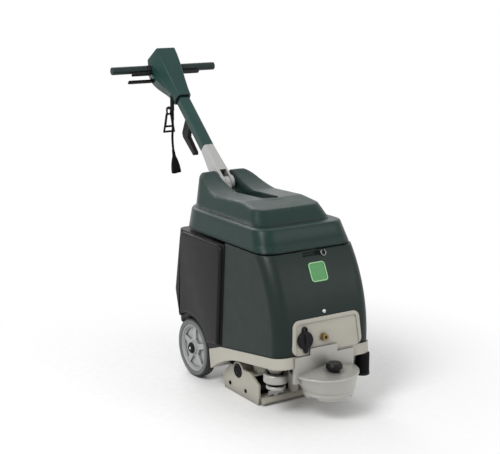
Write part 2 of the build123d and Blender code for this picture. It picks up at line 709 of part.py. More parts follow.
# Wire ring that swings in the lug on the tank's front rim
RING_CENTRE = (
    RING_HOLE[0] - RING_R * math.sin(RING_HANG), RING_HOLE[1] - RING_R * math.cos(RING_HANG)
)
with BuildPart() as lid_ring:
    ring_plane = Plane(
        origin=(RING_X, *RING_CENTRE), x_dir=(1, 0, 0), z_dir=(0, -math.cos(RING_HANG), math.sin(RING_HANG))
    )
    with Locations(ring_plane):
        Torus(RING_R, RING_WIRE_R)
save(lid_ring.part, "lid_ring")

PANEL_H = (PANEL_TOP_Z - BAND_FRONT_TOP_Z) / math.cos(PANEL_LEAN)


def panel_outline(plane, inset, foot):
    """Front panel's outline: narrower at the top, with two round upper corners."""
    with BuildSketch(plane) as outline:
        Polygon(
            (-PANEL_LOW_HALF_W + inset, -foot), (PANEL_LOW_HALF_W - inset, -foot),
            (PANEL_HALF_W - inset, PANEL_H - inset), (-PANEL_HALF_W + inset, PANEL_H - inset), align=None,
        )
        fillet(outline.vertices().group_by(Axis.Z)[-1], PANEL_CORNER_R - inset)
    return outline.sketch


# Grey front panel with a raised border and a hole for the tank's port
with BuildPart() as front_panel:
    extrude(panel_outline(panel_plane(0, BAND_FRONT_TOP_Z, -3.0), 0, 0), amount=PANEL_PROUD + 3.0)
    outward = front_panel.faces().filter_by(lambda f: f.normal_at().dot(PANEL_OUT) > 0.99)
    fillet(outward.sort_by(Axis.Y)[0].edges().sort_by(Axis.Z)[1:], PANEL_EDGE_R)
    extrude(
        panel_outline(panel_plane(0, BAND_FRONT_TOP_Z, PANEL_PROUD - PANEL_RIM_T), PANEL_RIM_W, 4.0),
        amount=2 * PANEL_RIM_T, mode=Mode.SUBTRACT,
    )
    with BuildSketch(panel_plane(PORT_X, PORT_Z, -PANEL_PROUD)):
        Circle(PORT_R + 2 * SEAT_GAP)
    extrude(amount=3 * PANEL_PROUD, mode=Mode.SUBTRACT)
    add(TANK_SOLID, mode=Mode.SUBTRACT)
    add(CHASSIS_SOLID, mode=Mode.SUBTRACT)
save(front_panel.part, "front_panel")

# Cap in the tank's port: disc with a grip bar, an eyelet above, a tab below and a stem
PANEL_FLOOR = PANEL_PROUD - PANEL_RIM_T
with BuildPart() as port_cap:
    with BuildSketch(panel_plane(PORT_X, PORT_Z, PANEL_FLOOR + SEAT_GAP)):
        Circle(CAP_R)
        with Locations((0, CAP_R + 5)):
            Circle(EYELET_R)
        with Locations((0, -CAP_R - 1)):
            SlotCenterToCenter(8.0, 15.0, rotation=90)
        with Locations((0, CAP_R + 5)):
            Circle(EYELET_R - 4.5, mode=Mode.SUBTRACT)
    extrude(amount=TAB_T)
    with BuildSketch(panel_plane(PORT_X, PORT_Z, PANEL_FLOOR + SEAT_GAP)):
        Circle(CAP_R - 1.5)
    extrude(amount=CAP_T)
    fillet(port_cap.faces().sort_by(Axis.Y)[0].edges(), 2.5)
    with BuildSketch(panel_plane(PORT_X, PORT_Z, PANEL_FLOOR + SEAT_GAP + CAP_T - 1.0)):
        SlotCenterToCenter(2 * CAP_R - 24.0, 10.0, rotation=90)
    extrude(amount=5.0)
    with BuildSketch(panel_plane(PORT_X, PORT_Z, PANEL_FLOOR + SEAT_GAP)):
        Circle(PORT_R)
    extrude(amount=-STEM_L)
save(port_cap.part, "port_cap")

# Brass quick coupler: hexagon base and a sleeve with a blind bore
with BuildPart() as coupler:
    with BuildSketch(panel_plane(COUPLER_X, PORT_Z, PANEL_FLOOR)):
        RegularPolygon(COUPLER_BASE_R, 6)
    extrude(amount=COUPLER_BASE_T)
    with BuildSketch(panel_plane(COUPLER_X, PORT_Z, PANEL_FLOOR + COUPLER_BASE_T)):
        Circle(COUPLER_R)
    extrude(amount=COUPLER_L)
    with BuildSketch(panel_plane(COUPLER_X, PORT_Z, PANEL_FLOOR + COUPLER_BASE_T + COUPLER_L)):
        Circle(COUPLER_BORE_R)
    extrude(amount=-COUPLER_L, mode=Mode.SUBTRACT)
save(coupler.part, "coupler")

# Blank badge plate on the tank's front, with a raised border
with BuildPart() as badge_plate:
    badge_plane = Plane(
        origin=(BADGE_X, *BADGE_POINT), x_dir=(1, 0, 0),
        z_dir=(0, -math.cos(BADGE_LEAN), math.sin(BADGE_LEAN)),
    )
    with BuildSketch(badge_plane.offset(-BADGE_T)):
        RectangleRounded(BADGE_W, BADGE_W, BADGE_R)
    extrude(amount=2 * BADGE_T)
    outer = badge_plate.faces().sort_by(Axis.Y)[0]
    fillet(outer.edges(), 1.0)
    with BuildSketch(badge_plane.offset(BADGE_T)):
        RectangleRounded(BADGE_W - 12, BADGE_W - 12, BADGE_R - 4)
    extrude(amount=-1.0, mode=Mode.SUBTRACT)
    add(TANK_SOLID, mode=Mode.SUBTRACT)
save(badge_plate.part, "badge_plate")

# Front drum: round bowl under the machine with a sloping top and a stepped neck against the chassis
with BuildPart() as vac_drum:
    with BuildSketch(Plane.XZ.offset(-DRUM_TOP_Y)):
        with Locations((DRUM_TOP_X, 0)):
            Polygon(
                (0, DRUM_TOP_Z), (DRUM_RIM_R, DRUM_RIM_Z), (DRUM_RIM_R, DRUM_RIM_Z - DRUM_RIM_T),
                (0, DRUM_RIM_Z - DRUM_RIM_T), align=None,
            )
    revolve(axis=Axis((DRUM_TOP_X, DRUM_TOP_Y, 0), (0, 0, 1)))
    fillet(vac_drum.edges().filter_by(GeomType.CIRCLE).group_by(SortBy.RADIUS)[-1], 2.0)
    with BuildSketch(Plane.XY.offset(DRUM_STEP_Z)):
        with Locations((0, DRUM_Y)):
            Circle(DRUM_BOTTOM_R)
    with BuildSketch(Plane.XY.offset(DRUM_RIM_Z - DRUM_RIM_T)):
        with Locations((DRUM_TOP_X, DRUM_TOP_Y)):
            Circle(DRUM_BODY_R)
    loft()
    with BuildSketch(Plane.XY.offset(DRUM_LIP_Z)):
        with Locations((0, DRUM_Y)):
            Circle(DRUM_LIP_R)
    extrude(amount=DRUM_STEP_Z - DRUM_LIP_Z)
    with BuildSketch(Plane.XY.offset(DRUM_FOOT_Z)):
        with Locations((0, DRUM_Y)):
            Circle(DRUM_LIP_R - 4)
            Circle(DRUM_LIP_R - 20, mode=Mode.SUBTRACT)
            with PolarLocations(DRUM_LIP_R - 12, 4, 20):
                Rectangle(26, 34, mode=Mode.SUBTRACT)
    extrude(amount=DRUM_LIP_Z - DRUM_FOOT_Z)
    with BuildSketch(Plane.XZ.offset(-NECK_FRONT_Y)):
        with BuildLine():
            top = [point for i, (x, z) in enumerate(NECK_STEPS) for point in (
                (x, z), (NECK_STEPS[i + 1][0] if i + 1 < len(NECK_STEPS) else NECK_RIGHT_X, z))]
            Polyline((NECK_LEFT_X, NECK_BOTTOM_Z), *top, (NECK_RIGHT_X, NECK_BOTTOM_Z), close=True)
        make_face()
    extrude(amount=NECK_FRONT_Y - FRONT_LOW_Y - 6)
    with BuildSketch(Plane.XY.offset(DRUM_TOP_Z - 12)):
        with Locations((0, DRUM_TOP_Y + DRUM_RIM_R / 2 - 12)):
            Circle(DUCT_R)
    extrude(amount=DUCT_R)
    add(CHASSIS_SOLID, mode=Mode.SUBTRACT)
    add(TANK_SOLID, mode=Mode.SUBTRACT)
    add(front_panel.part, mode=Mode.SUBTRACT)
    with BuildSketch(Plane.XZ.offset(-DRUM_Y)):
        with BuildLine():
            Polyline(
                (0, DRUM_RIM_Z - DRUM_RIM_T), (DRUM_CAVITY_R, DRUM_RIM_Z - DRUM_RIM_T),
                (DRUM_BOTTOM_R - DRUM_WALL - 3, DRUM_STEP_Z), (DRUM_LIP_R - DRUM_WALL, DRUM_STEP_Z),
                (DRUM_LIP_R - DRUM_WALL, DRUM_LIP_Z + DRUM_WALL), (0, DRUM_LIP_Z + DRUM_WALL), close=True,
            )
        make_face()
    revolve(axis=Axis((0, DRUM_Y, 0), (0, 0, 1)), mode=Mode.SUBTRACT)
    with BuildSketch(Plane.XY.offset(DRUM_LIP_Z + DRUM_WALL)):
        with Locations((KNOB_X, KNOB_Y)):
            Circle(KNOB_STEM_R + SEAT_GAP)
    extrude(amount=DRUM_TOP_Z, mode=Mode.SUBTRACT)
    with Locations((0, DRUM_Y, DRUM_LIP_Z)):
        Cylinder(VAC_SHAFT_R + RUN_FIT, 4 * DRUM_WALL, mode=Mode.SUBTRACT)
save(vac_drum.part, "vac_drum")

# Suction motor on the drum's ceiling, and the fan on its shaft
with BuildPart() as vac_motor:
    with BuildSketch(Plane.XY.offset(VAC_MOTOR_Z[0])):
        with Locations((0, DRUM_Y)):
            Circle(VAC_MOTOR_R)
    extrude(amount=VAC_MOTOR_Z[1] - VAC_MOTOR_Z[0])
    fillet(vac_motor.edges().filter_by(GeomType.CIRCLE), 4.0)
    with BuildSketch(Plane.XY.offset(VAC_MOTOR_Z[1])):
        with Locations((0, DRUM_Y)):
            with PolarLocations(VAC_MOTOR_R - 14, 3, 90):
                Circle(5.0)
    extrude(amount=DRUM_RIM_Z - DRUM_RIM_T - VAC_MOTOR_Z[1])
    with BuildSketch(Plane.XY.offset(VAC_MOTOR_Z[0])):
        with Locations((0, DRUM_Y)):
            Circle(VAC_SHAFT_R + RUN_FIT)
    extrude(amount=VAC_MOTOR_Z[1] - VAC_MOTOR_Z[0] - 4, mode=Mode.SUBTRACT)
save(vac_motor.part, "vac_motor")

with BuildPart() as vac_fan:
    with BuildSketch(Plane.XY.offset(FAN_Z)):
        with Locations((0, DRUM_Y)):
            Circle(FAN_R)
    extrude(amount=2.0)
    with BuildSketch(Plane.XY.offset(FAN_Z)):
        with Locations((0, DRUM_Y)):
            Circle(VAC_SHAFT_R + 9)
    extrude(amount=FAN_H)
    with BuildSketch(Plane.XY.offset(FAN_Z)):
        with Locations((0, DRUM_Y)):
            with PolarLocations(FAN_R / 2 + 6, FAN_BLADES):
                Rectangle(FAN_R - 14, 2.5, rotation=25)
    extrude(amount=FAN_H)
    with BuildSketch(Plane.XY.offset(DRUM_LIP_Z + 1)):
        with Locations((0, DRUM_Y)):
            Circle(VAC_SHAFT_R)
    extrude(amount=VAC_MOTOR_Z[1] - DRUM_LIP_Z - 8)
save(vac_fan.part, "vac_fan")

# Mushroom knob that plugs the hole in the drum's top
with BuildPart() as drum_knob:
    knob_profile = (
        (0, KNOB_Z[1]), (KNOB_R - 5, KNOB_Z[1]), (KNOB_R, KNOB_Z[1] - 6), (KNOB_R, KNOB_Z[0] + 3),
        (KNOB_R - 4, KNOB_Z[0]), (KNOB_WAIST_R, KNOB_Z[0]), (KNOB_WAIST_R, DRUM_RIM_Z), (0, DRUM_RIM_Z),
    )
    with BuildSketch(Plane.XZ.offset(-KNOB_Y)):
        with Locations((KNOB_X, 0)):
            Polygon(*knob_profile, align=None)
    revolve(axis=Axis((KNOB_X, KNOB_Y, 0), (0, 0, 1)))
    with BuildSketch(Plane.XZ.offset(-DRUM_TOP_Y)):
        with Locations((DRUM_TOP_X, 0)):
            Polygon(
                (0, DRUM_TOP_Z + SEAT_GAP), (DRUM_RIM_R, DRUM_RIM_Z + SEAT_GAP), (DRUM_RIM_R, 0), (0, 0),
                align=None,
            )
    revolve(axis=Axis((DRUM_TOP_X, DRUM_TOP_Y, 0), (0, 0, 1)), mode=Mode.SUBTRACT)
    with BuildSketch(Plane.XY.offset(DRUM_RIM_Z - DRUM_RIM_T)):
        with Locations((KNOB_X, KNOB_Y)):
            Circle(KNOB_STEM_R)
    extrude(amount=KNOB_Z[0] - DRUM_RIM_Z + DRUM_RIM_T)
save(drum_knob.part, "drum_knob")

# Corner bumper wheels on their studs
for side, sign in (("left", -1), ("right", 1)):
    with BuildPart() as bumper:
        with BuildSketch(Plane.XY.offset(BUMPER_Z[0])):
            with Locations((sign * BUMPER_X, BUMPER_Y)):
                Circle(BUMPER_R)
        extrude(amount=BUMPER_Z[1] - BUMPER_Z[0])
        fillet(bumper.edges().filter_by(GeomType.CIRCLE), 6.0)
        with BuildSketch(Plane.XY.offset(BUMPER_SEAT_Z)):
            with Locations((sign * BUMPER_X, BUMPER_Y)):
                Circle(BUMPER_DISH_R)
        extrude(amount=BUMPER_Z[1], mode=Mode.SUBTRACT)
        with BuildSketch(Plane.XY.offset(BUMPER_Z[0])):
            with Locations((sign * BUMPER_X, BUMPER_Y)):
                Circle(BUMPER_BOLT_R + RUN_FIT)
        extrude(amount=BUMPER_Z[1], mode=Mode.SUBTRACT)
    save(bumper.part, f"{side}_bumper")

# Drain hose under the right front corner, and the plug in its end
with BuildPart() as drain_hose:
    hose_top = BAND_FRONT_BOTTOM_Z - 2.5
    with BuildSketch(Plane.XY.offset(HOSE_END_Z)):
        with Locations((HOSE_X, HOSE_Y)):
            Circle(HOSE_R)
            Circle(HOSE_BORE_R, mode=Mode.SUBTRACT)
    extrude(amount=hose_top - HOSE_END_Z)
    add(CHASSIS_SOLID, mode=Mode.SUBTRACT)
save(drain_hose.part, "drain_hose")

with BuildPart() as drain_plug:
    with BuildSketch(Plane.XY.offset(HOSE_END_Z - SEAT_GAP)):
        with Locations((HOSE_X, HOSE_Y)):
            Circle(HOSE_R + 1.5)
    extrude(amount=-8.0)
    fillet(drain_plug.edges().group_by(Axis.Z)[0], 2.0)
    with BuildSketch(Plane.XY.offset(HOSE_END_Z - SEAT_GAP)):
        with Locations((HOSE_X, HOSE_Y)):
            Circle(HOSE_BORE_R - SEAT_GAP)
    extrude(amount=22.0)
save(drain_plug.part, "drain_plug")

# Head end plates: skids that carry the roller shafts
for side, sign in (("left", -1), ("right", 1)):
    with BuildPart() as head_plate:
        with BuildSketch(Plane.YZ.offset(sign * PLATE_X - (PLATE_T if sign > 0 else 0))):
            Polygon(*PLATE_OUTLINE, align=None)
            with Locations((MOTOR_Y, MOTOR_Z)):
                Circle(PLATE_EAR_R)
            with Locations((MOTOR_Y, MOTOR_Z)):
                Circle(MOTOR_HOLE_R, mode=Mode.SUBTRACT)
            with Locations((REAR_ROLLER_Y, ROLLER_Z), (FRONT_ROLLER_Y, ROLLER_Z)):
                Circle(SHAFT_R + RUN_FIT, mode=Mode.SUBTRACT)
        extrude(amount=PLATE_T)
        outer_face = head_plate.faces().filter_by(Axis.X).sort_by(Axis.X)[-1 if sign > 0 else 0]
        fillet(outer_face.outer_wire().edges().filter_by(lambda e: e.center().Z > 1.0), 2.0)
    save(head_plate.part, f"head_{side}_plate")

# Deck between the end plates, humped over the brush motor, with four posts and a spray bar
with BuildPart() as head_deck:
    with BuildSketch(Plane.XY.offset(DECK_Z)):
        with Locations((0, (DECK_FRONT_Y + DECK_REAR_Y) / 2)):
            Rectangle(2 * (PLATE_X - PLATE_T), DECK_REAR_Y - DECK_FRONT_Y)
    extrude(amount=DECK_T)
    with BuildSketch(Plane.YZ.offset(-PLATE_X + PLATE_T)):
        with Locations((MOTOR_Y, MOTOR_Z)):
            Circle(MOTOR_R + 2 + HUMP_T)
        with Locations((MOTOR_Y, DECK_Z / 2)):
            Rectangle(3 * MOTOR_R, DECK_Z, mode=Mode.SUBTRACT)
    extrude(amount=2 * (PLATE_X - PLATE_T))
    with BuildSketch(Plane.XY.offset(DECK_Z)):
        with Locations((-POST_X, DECK_FRONT_Y + 16), (POST_X, DECK_FRONT_Y + 16)):
            Rectangle(30, 26)
    extrude(amount=ARCH_FRONT[1] - DECK_Z + 8)
    with BuildSketch(Plane.XY.offset(DECK_Z)):
        with Locations((-POST_X, DECK_REAR_Y - 18), (POST_X, DECK_REAR_Y - 18)):
            Rectangle(30, 26)
    extrude(amount=ARCH_MID[1] - DECK_Z + 2)
    add(CHASSIS_SOLID, mode=Mode.SUBTRACT)
    with BuildSketch(Plane.YZ.offset(-PLATE_X)):
        with Locations((MOTOR_Y, MOTOR_Z)):
            Circle(MOTOR_R + SEAT_GAP)
    extrude(amount=2 * PLATE_X, mode=Mode.SUBTRACT)
    with BuildSketch(Plane.YZ.offset(-PLATE_X + PLATE_T + SEAT_GAP)):
        with Locations((SPRAY_Y, DECK_Z + 1 - SPRAY_R)):
            Circle(SPRAY_R)
    extrude(amount=2 * (PLATE_X - PLATE_T - SEAT_GAP))
    with BuildSketch(Plane.XY.offset(DECK_Z - 2 * SPRAY_R - 12)):
        with Locations((-NOZZLE_X, SPRAY_Y), (0, SPRAY_Y), (NOZZLE_X, SPRAY_Y)):
            Circle(3.5)
    extrude(amount=SPRAY_R + 12)
save(head_deck.part, "head_deck")

# Brush motor in the hump
with BuildPart() as brush_motor:
    with BuildSketch(Plane.YZ.offset(-MOTOR_LEFT_X)):
        with Locations((MOTOR_Y, MOTOR_Z)):
            Circle(MOTOR_R)
    extrude(amount=MOTOR_LEFT_X + MOTOR_RIGHT_X)
    fillet(brush_motor.edges().filter_by(GeomType.CIRCLE), 3.0)
    with BuildSketch(Plane.YZ.offset(MOTOR_RIGHT_X - 40)):
        with Locations((MOTOR_Y, MOTOR_Z)):
            Circle(SHAFT_R + RUN_FIT)
    extrude(amount=41.0, mode=Mode.SUBTRACT)
save(brush_motor.part, "brush_motor")

with BuildPart() as motor_pulley:
    with BuildSketch(Plane.YZ.offset(MOTOR_RIGHT_X - 38)):
        with Locations((MOTOR_Y, MOTOR_Z)):
            Circle(SHAFT_R)
    extrude(amount=BELT_X + BELT_W + 2 - MOTOR_RIGHT_X + 38)
    with BuildSketch(Plane.YZ.offset(BELT_X)):
        with Locations((MOTOR_Y, MOTOR_Z)):
            Circle(MOTOR_PULLEY_R)
    extrude(amount=BELT_W)
save(motor_pulley.part, "motor_pulley")

# Two counter-set brush rollers: core, shaft and pulley, with rows of bristles in a sleeve
for side, roller_y, first in (("rear", REAR_ROLLER_Y, 0.0), ("front", FRONT_ROLLER_Y, 18.0)):
    with BuildPart() as roller:
        for x_from, x_to, radius in (
            (-BRUSH_HALF_W - 4, BRUSH_HALF_W + 4, CORE_R),
            (-PLATE_X - 1, BELT_X + BELT_W + 2, SHAFT_R),
            (BELT_X, BELT_X + BELT_W, PULLEY_R),
        ):
            with BuildSketch(Plane.YZ.offset(x_from)):
                with Locations((roller_y, ROLLER_Z)):
                    Circle(radius)
            extrude(amount=x_to - x_from)
    save(roller.part, f"{side}_roller")

    sleeve_r = CORE_R + SLEEVE_T
    strand_l = ROLLER_Z - BRISTLE_GAP - sleeve_r + 1
    strands = []
    for row in range(STRAND_ROWS):
        row_x = (row + 0.5) * 2 * BRUSH_HALF_W / STRAND_ROWS - BRUSH_HALF_W
        for step in range(STRANDS_ROUND):
            angle = first + (step + 0.5 * (row % 2)) * 360 / STRANDS_ROUND + row * 3
            place = Location((row_x, roller_y, ROLLER_Z), (angle, 0, 0))
            strand = Box(STRAND_T, STRAND_T, strand_l, align=(Align.CENTER, Align.CENTER, Align.MIN))
            strands.append(place * Location((0, 0, sleeve_r - 1)) * strand)
    with BuildPart() as bristles:
        with BuildSketch(Plane.YZ.offset(-BRUSH_HALF_W)):
            with Locations((roller_y, ROLLER_Z)):
                Circle(sleeve_r)
        extrude(amount=2 * BRUSH_HALF_W)
        add(strands)
        with BuildSketch(Plane.YZ.offset(-BRUSH_HALF_W)):
            with Locations((roller_y, ROLLER_Z)):
                Circle(CORE_R + RUN_FIT)
        extrude(amount=2 * BRUSH_HALF_W, mode=Mode.SUBTRACT)
    save(bristles.part, f"{side}_bristles")


def belt_loop(plane, grow):
    """Band line round the two roller pulleys and the motor pulley."""
    with BuildSketch(plane) as loop:
        with Locations((REAR_ROLLER_Y, ROLLER_Z), (FRONT_ROLLER_Y, ROLLER_Z)):
            Circle(PULLEY_R + grow)
        with Locations((MOTOR_Y, MOTOR_Z)):
            Circle(MOTOR_PULLEY_R + grow)
        make_hull(loop.edges())
    return loop.sketch


with BuildPart() as drive_belt:
    extrude(belt_loop(Plane.YZ.offset(BELT_X), SEAT_GAP + BELT_T), amount=BELT_W)
    extrude(belt_loop(Plane.YZ.offset(BELT_X), SEAT_GAP), amount=BELT_W, mode=Mode.SUBTRACT)
save(drive_belt.part, "drive_belt")

with BuildPart() as belt_cover:
    cover_in = SEAT_GAP + BELT_T + COVER_GAP
    extrude(belt_loop(Plane.YZ.offset(PLATE_X), cover_in + COVER_T), amount=COVER_FACE_X - PLATE_X)
    fillet(belt_cover.faces().sort_by(Axis.X)[-1].edges(), 2.0)
    inside = belt_loop(Plane.YZ.offset(PLATE_X), cover_in)
    extrude(inside, amount=COVER_FACE_X - PLATE_X - COVER_T, mode=Mode.SUBTRACT)
save(belt_cover.part, "belt_cover")

# Suction shoe in front of the rollers, with its duct up to the chassis
with BuildPart() as shoe_block:
    with BuildSketch(Plane.YZ):
        Polygon(
            (SHOE_REAR_Y, SHOE_LIP_Z), (SHOE_REAR_Y, SHOE_TOP_Z), (SHOE_FRONT_Y + 8, SHOE_TOP_Z - 2),
            (SHOE_FRONT_Y - 4, SHOE_NOSE_Z), (SHOE_FRONT_Y, SHOE_LIP_Z), align=None,
        )
    extrude(amount=PLATE_X - PLATE_T - SEAT_GAP, both=True)
    with BuildSketch(Plane.XY):
        with Locations((0, SHOE_FRONT_Y - 4)):
            RectangleRounded(
                2 * (PLATE_X - PLATE_T - SEAT_GAP), 4 * (SHOE_REAR_Y - SHOE_FRONT_Y), SHOE_CORNER_R,
                align=(Align.CENTER, Align.MIN),
            )
    extrude(amount=2 * SHOE_TOP_Z, mode=Mode.INTERSECT)
SHOE_SOLID = shoe_block.part

with BuildPart() as vac_shoe:
    add(SHOE_SOLID)
    with BuildSketch(Plane.YZ):
        Polygon(
            (SHOE_REAR_Y - SHOE_WALL, 0), (SHOE_REAR_Y - SHOE_WALL, SHOE_TOP_Z - SHOE_WALL),
            (SHOE_FRONT_Y + 11, SHOE_TOP_Z - SHOE_WALL - 2), (SHOE_FRONT_Y + SHOE_WALL, 0), align=None,
        )
    extrude(amount=PLATE_X - PLATE_T - SEAT_GAP - SHOE_WALL, both=True, mode=Mode.SUBTRACT)
    with BuildSketch(Plane.XY.offset(SHOE_TOP_Z - SHOE_WALL / 2)):
        with Locations((0, SHOE_REAR_Y - SHOE_DUCT_R - 2)):
            Circle(SHOE_DUCT_R)
    extrude(amount=ARCH_FRONT[1] + 12 - SHOE_TOP_Z + SHOE_WALL / 2)
    add(CHASSIS_SOLID, mode=Mode.SUBTRACT)
    with BuildSketch(Plane.XY.offset(SHOE_LIP_Z)):
        with Locations((0, SHOE_REAR_Y - SHOE_DUCT_R - 2)):
            Circle(SHOE_DUCT_R - 4)
    extrude(amount=ARCH_FRONT[1] + 20, mode=Mode.SUBTRACT)
save(vac_shoe.part, "vac_shoe")

# Bow-shaped zinc clips on the shoe
with BuildPart() as shoe_clips:
    for clip_x in (-CLIP_X, CLIP_X):
        with BuildSketch(Plane.XZ.offset(-CLIP_Y)):
            with Locations((clip_x, SHOE_TOP_Z)):
                Polygon(
                    (-CLIP_W / 2, 3),
                    (-CLIP_W / 2, CLIP_H),
                    (0, CLIP_H - 5),
                    (CLIP_W / 2, CLIP_H),
                    (CLIP_W / 2, 3),
                    (CLIP_FOOT_W / 2, 6),
                    (CLIP_FOOT_W / 2, -3),
                    (-CLIP_FOOT_W / 2, -3),
                    (-CLIP_FOOT_W / 2, 6),
                    align=None,
                )
        extrude(amount=-CLIP_T)
    add(SHOE_SOLID, mode=Mode.SUBTRACT)
save(shoe_clips.part, "shoe_clips")

# Axle with a spacer sleeve beside each wheel
with BuildPart() as axle:
    with BuildSketch(Plane.YZ.offset(-HUB_FACE_X + SEAT_GAP)):
        with Locations((AXLE_Y, WHEEL_R)):
            Circle(AXLE_R)
    extrude(amount=2 * (HUB_FACE_X - SEAT_GAP))
    with BuildSketch(Plane.YZ.offset(TONGUE_HALF_W), Plane.YZ.offset(-WHEEL_FACE_X + TYRE_W + SEAT_GAP)):
        with Locations((AXLE_Y, WHEEL_R)):
            Circle(SPACER_R)
    extrude(amount=WHEEL_FACE_X - TYRE_W - SEAT_GAP - TONGUE_HALF_W)
save(axle.part, "axle")

WHEEL_PLANE = Plane(origin=(0, AXLE_Y, WHEEL_R), x_dir=(1, 0, 0), z_dir=(0, -1, 0))
WHEEL_AXIS = Axis((0, AXLE_Y, WHEEL_R), (1, 0, 0))


def wheel_ring(sign, outline):
    """Ring about the axle from a half section given as distance from the machine's middle and radius."""
    with BuildPart() as ring:
        with BuildSketch(WHEEL_PLANE):
            Polygon(*[(sign * x, radius) for x, radius in outline], align=None)
        revolve(axis=WHEEL_AXIS)
    return ring.part


# Wheels: tyre, dished hub with ribs, and a cap over the axle's end
WHEEL_IN_X = WHEEL_FACE_X - TYRE_W
for side, sign in (("left", -1), ("right", 1)):
    with BuildPart() as tyre:
        add(wheel_ring(sign, (
            (WHEEL_IN_X, RIM_R + RUN_FIT), (WHEEL_IN_X, WHEEL_R - 7), (WHEEL_IN_X + 3, WHEEL_R - 2),
            (WHEEL_IN_X + 8, WHEEL_R), (WHEEL_FACE_X - 8, WHEEL_R), (WHEEL_FACE_X - 3, WHEEL_R - 2),
            (WHEEL_FACE_X, WHEEL_R - 7), (WHEEL_FACE_X, RIM_R + RUN_FIT),
        )))
    save(tyre.part, f"{side}_tyre")

    with BuildPart() as hub:
        add(wheel_ring(sign, (
            (WHEEL_IN_X, AXLE_R + RUN_FIT), (HUB_FACE_X, AXLE_R + RUN_FIT), (HUB_FACE_X, HUB_BOSS_R - 1),
            (HUB_FACE_X - 1, HUB_BOSS_R), (HUB_FACE_X - 8, HUB_BOSS_R + 2), (RIM_FACE_X - 8, RIM_R - RIM_T),
            (RIM_FACE_X, RIM_R - RIM_T + 3), (RIM_FACE_X, RIM_R), (WHEEL_IN_X + 2, RIM_R),
            (WHEEL_IN_X + 2, RIM_R - RIM_T), (RIM_FACE_X - 8 - HUB_WEB, RIM_R - RIM_T),
            (HUB_FACE_X - 8 - HUB_WEB, HUB_BOSS_R), (WHEEL_IN_X, HUB_BOSS_R),
        )))
        with BuildSketch(Plane.YZ.offset(sign * WHEEL_IN_X)):
            with Locations((AXLE_Y, WHEEL_R)):
                Circle(POCKET_OUT_R)
                Circle(POCKET_IN_R, mode=Mode.SUBTRACT)
                with PolarLocations(0, HUB_RIBS, 18):
                    Polygon(
                        (0, SPOKE_W[0] / 2), (RIM_R, SPOKE_W[1] / 2), (RIM_R, -SPOKE_W[1] / 2),
                        (0, -SPOKE_W[0] / 2), align=None, mode=Mode.SUBTRACT,
                    )
        extrude(amount=sign * TYRE_W, mode=Mode.SUBTRACT)
        with BuildSketch(Plane.YZ.offset(sign * (RIM_FACE_X - 8 - HUB_WEB))):
            with Locations((AXLE_Y, WHEEL_R)):
                Circle(POCKET_OUT_R + 2)
                Circle(POCKET_IN_R - 2, mode=Mode.SUBTRACT)
        extrude(amount=sign * POCKET_FLOOR)
    save(hub.part, f"{side}_hub")

    with BuildPart() as hub_cap:
        add(wheel_ring(sign, (
            (HUB_FACE_X, 0), (HUB_FACE_X, HUB_CAP_R), (HUB_FACE_X + 4, HUB_CAP_R),
            (HUB_FACE_X + 7, HUB_CAP_R - 5), (HUB_FACE_X + 5, HUB_CAP_R - 9), (HUB_FACE_X + 5, 6),
            (HUB_FACE_X + 8, 5), (HUB_FACE_X + 8, 0),
        )))
    save(hub_cap.part, f"{side}_hub_cap")

# Solution pump on the tongue, inside the rear housing
PUMP_AXIS_Z = TONGUE_TOP_Z + PUMP_BASE_T + PUMP_R - PUMP_SINK
PUMP_MOTOR_Y = PUMP_Y - PUMP_BASE_L / 2
with BuildPart() as solution_pump:
    with BuildSketch(Plane.XY.offset(TONGUE_TOP_Z)):
        with Locations((PUMP_X, PUMP_Y)):
            Rectangle(PUMP_BASE_W, PUMP_BASE_L)
    extrude(amount=PUMP_BASE_T)
    with BuildSketch(Plane.XZ.offset(-PUMP_MOTOR_Y)):
        with Locations((PUMP_X, PUMP_AXIS_Z)):
            Circle(PUMP_R)
    extrude(amount=-PUMP_MOTOR_L)
    with BuildSketch(Plane.XZ.offset(-PUMP_MOTOR_Y - PUMP_MOTOR_L)):
        with Locations((PUMP_X, PUMP_AXIS_Z)):
            Rectangle(PUMP_HEAD_W, PUMP_HEAD_W)
    extrude(amount=-PUMP_HEAD_L)
save(solution_pump.part, "solution_pump")

# Post on the rear housing that carries the handle
with BuildPart() as handle_post:
    with BuildSketch(Plane.XY.offset(POD_TOP_Z)):
        with Locations((0, (NOTCH_FRONT_Y + POD_REAR_TOP_Y) / 2)):
            RectangleRounded(2 * SLOT_HALF_W - 8, POD_REAR_TOP_Y - NOTCH_FRONT_Y - 16, 6)
    extrude(amount=LID_BOTTOM_Z - POD_TOP_Z - 4)
    with BuildSketch(Plane.YZ):
        with Locations((PIVOT_Y, PIVOT_Z)):
            Circle(POST_R)
        with BuildLine():
            Polyline(
                (PIVOT_Y - POST_R, PIVOT_Z), (PIVOT_Y + POST_R, PIVOT_Z),
                (POD_REAR_TOP_Y - 10, POD_TOP_Z + 4), (NOTCH_FRONT_Y + 14, POD_TOP_Z + 4), close=True,
            )
        make_face()
        with Locations((PIVOT_Y, PIVOT_Z)):
            Circle(PIN_R + RUN_FIT, mode=Mode.SUBTRACT)
    extrude(amount=TONGUE_HALF, both=True)
    with BuildSketch(Plane.XY.offset(LID_BOTTOM_Z - 4)):
        with Locations((20, NOTCH_FRONT_Y + 20), (-20, NOTCH_FRONT_Y + 20),
                       (20, POD_REAR_TOP_Y - 20), (-20, POD_REAR_TOP_Y - 20)):
            RegularPolygon(6.0, 6)
    extrude(amount=5.0)
save(handle_post.part, "handle_post")

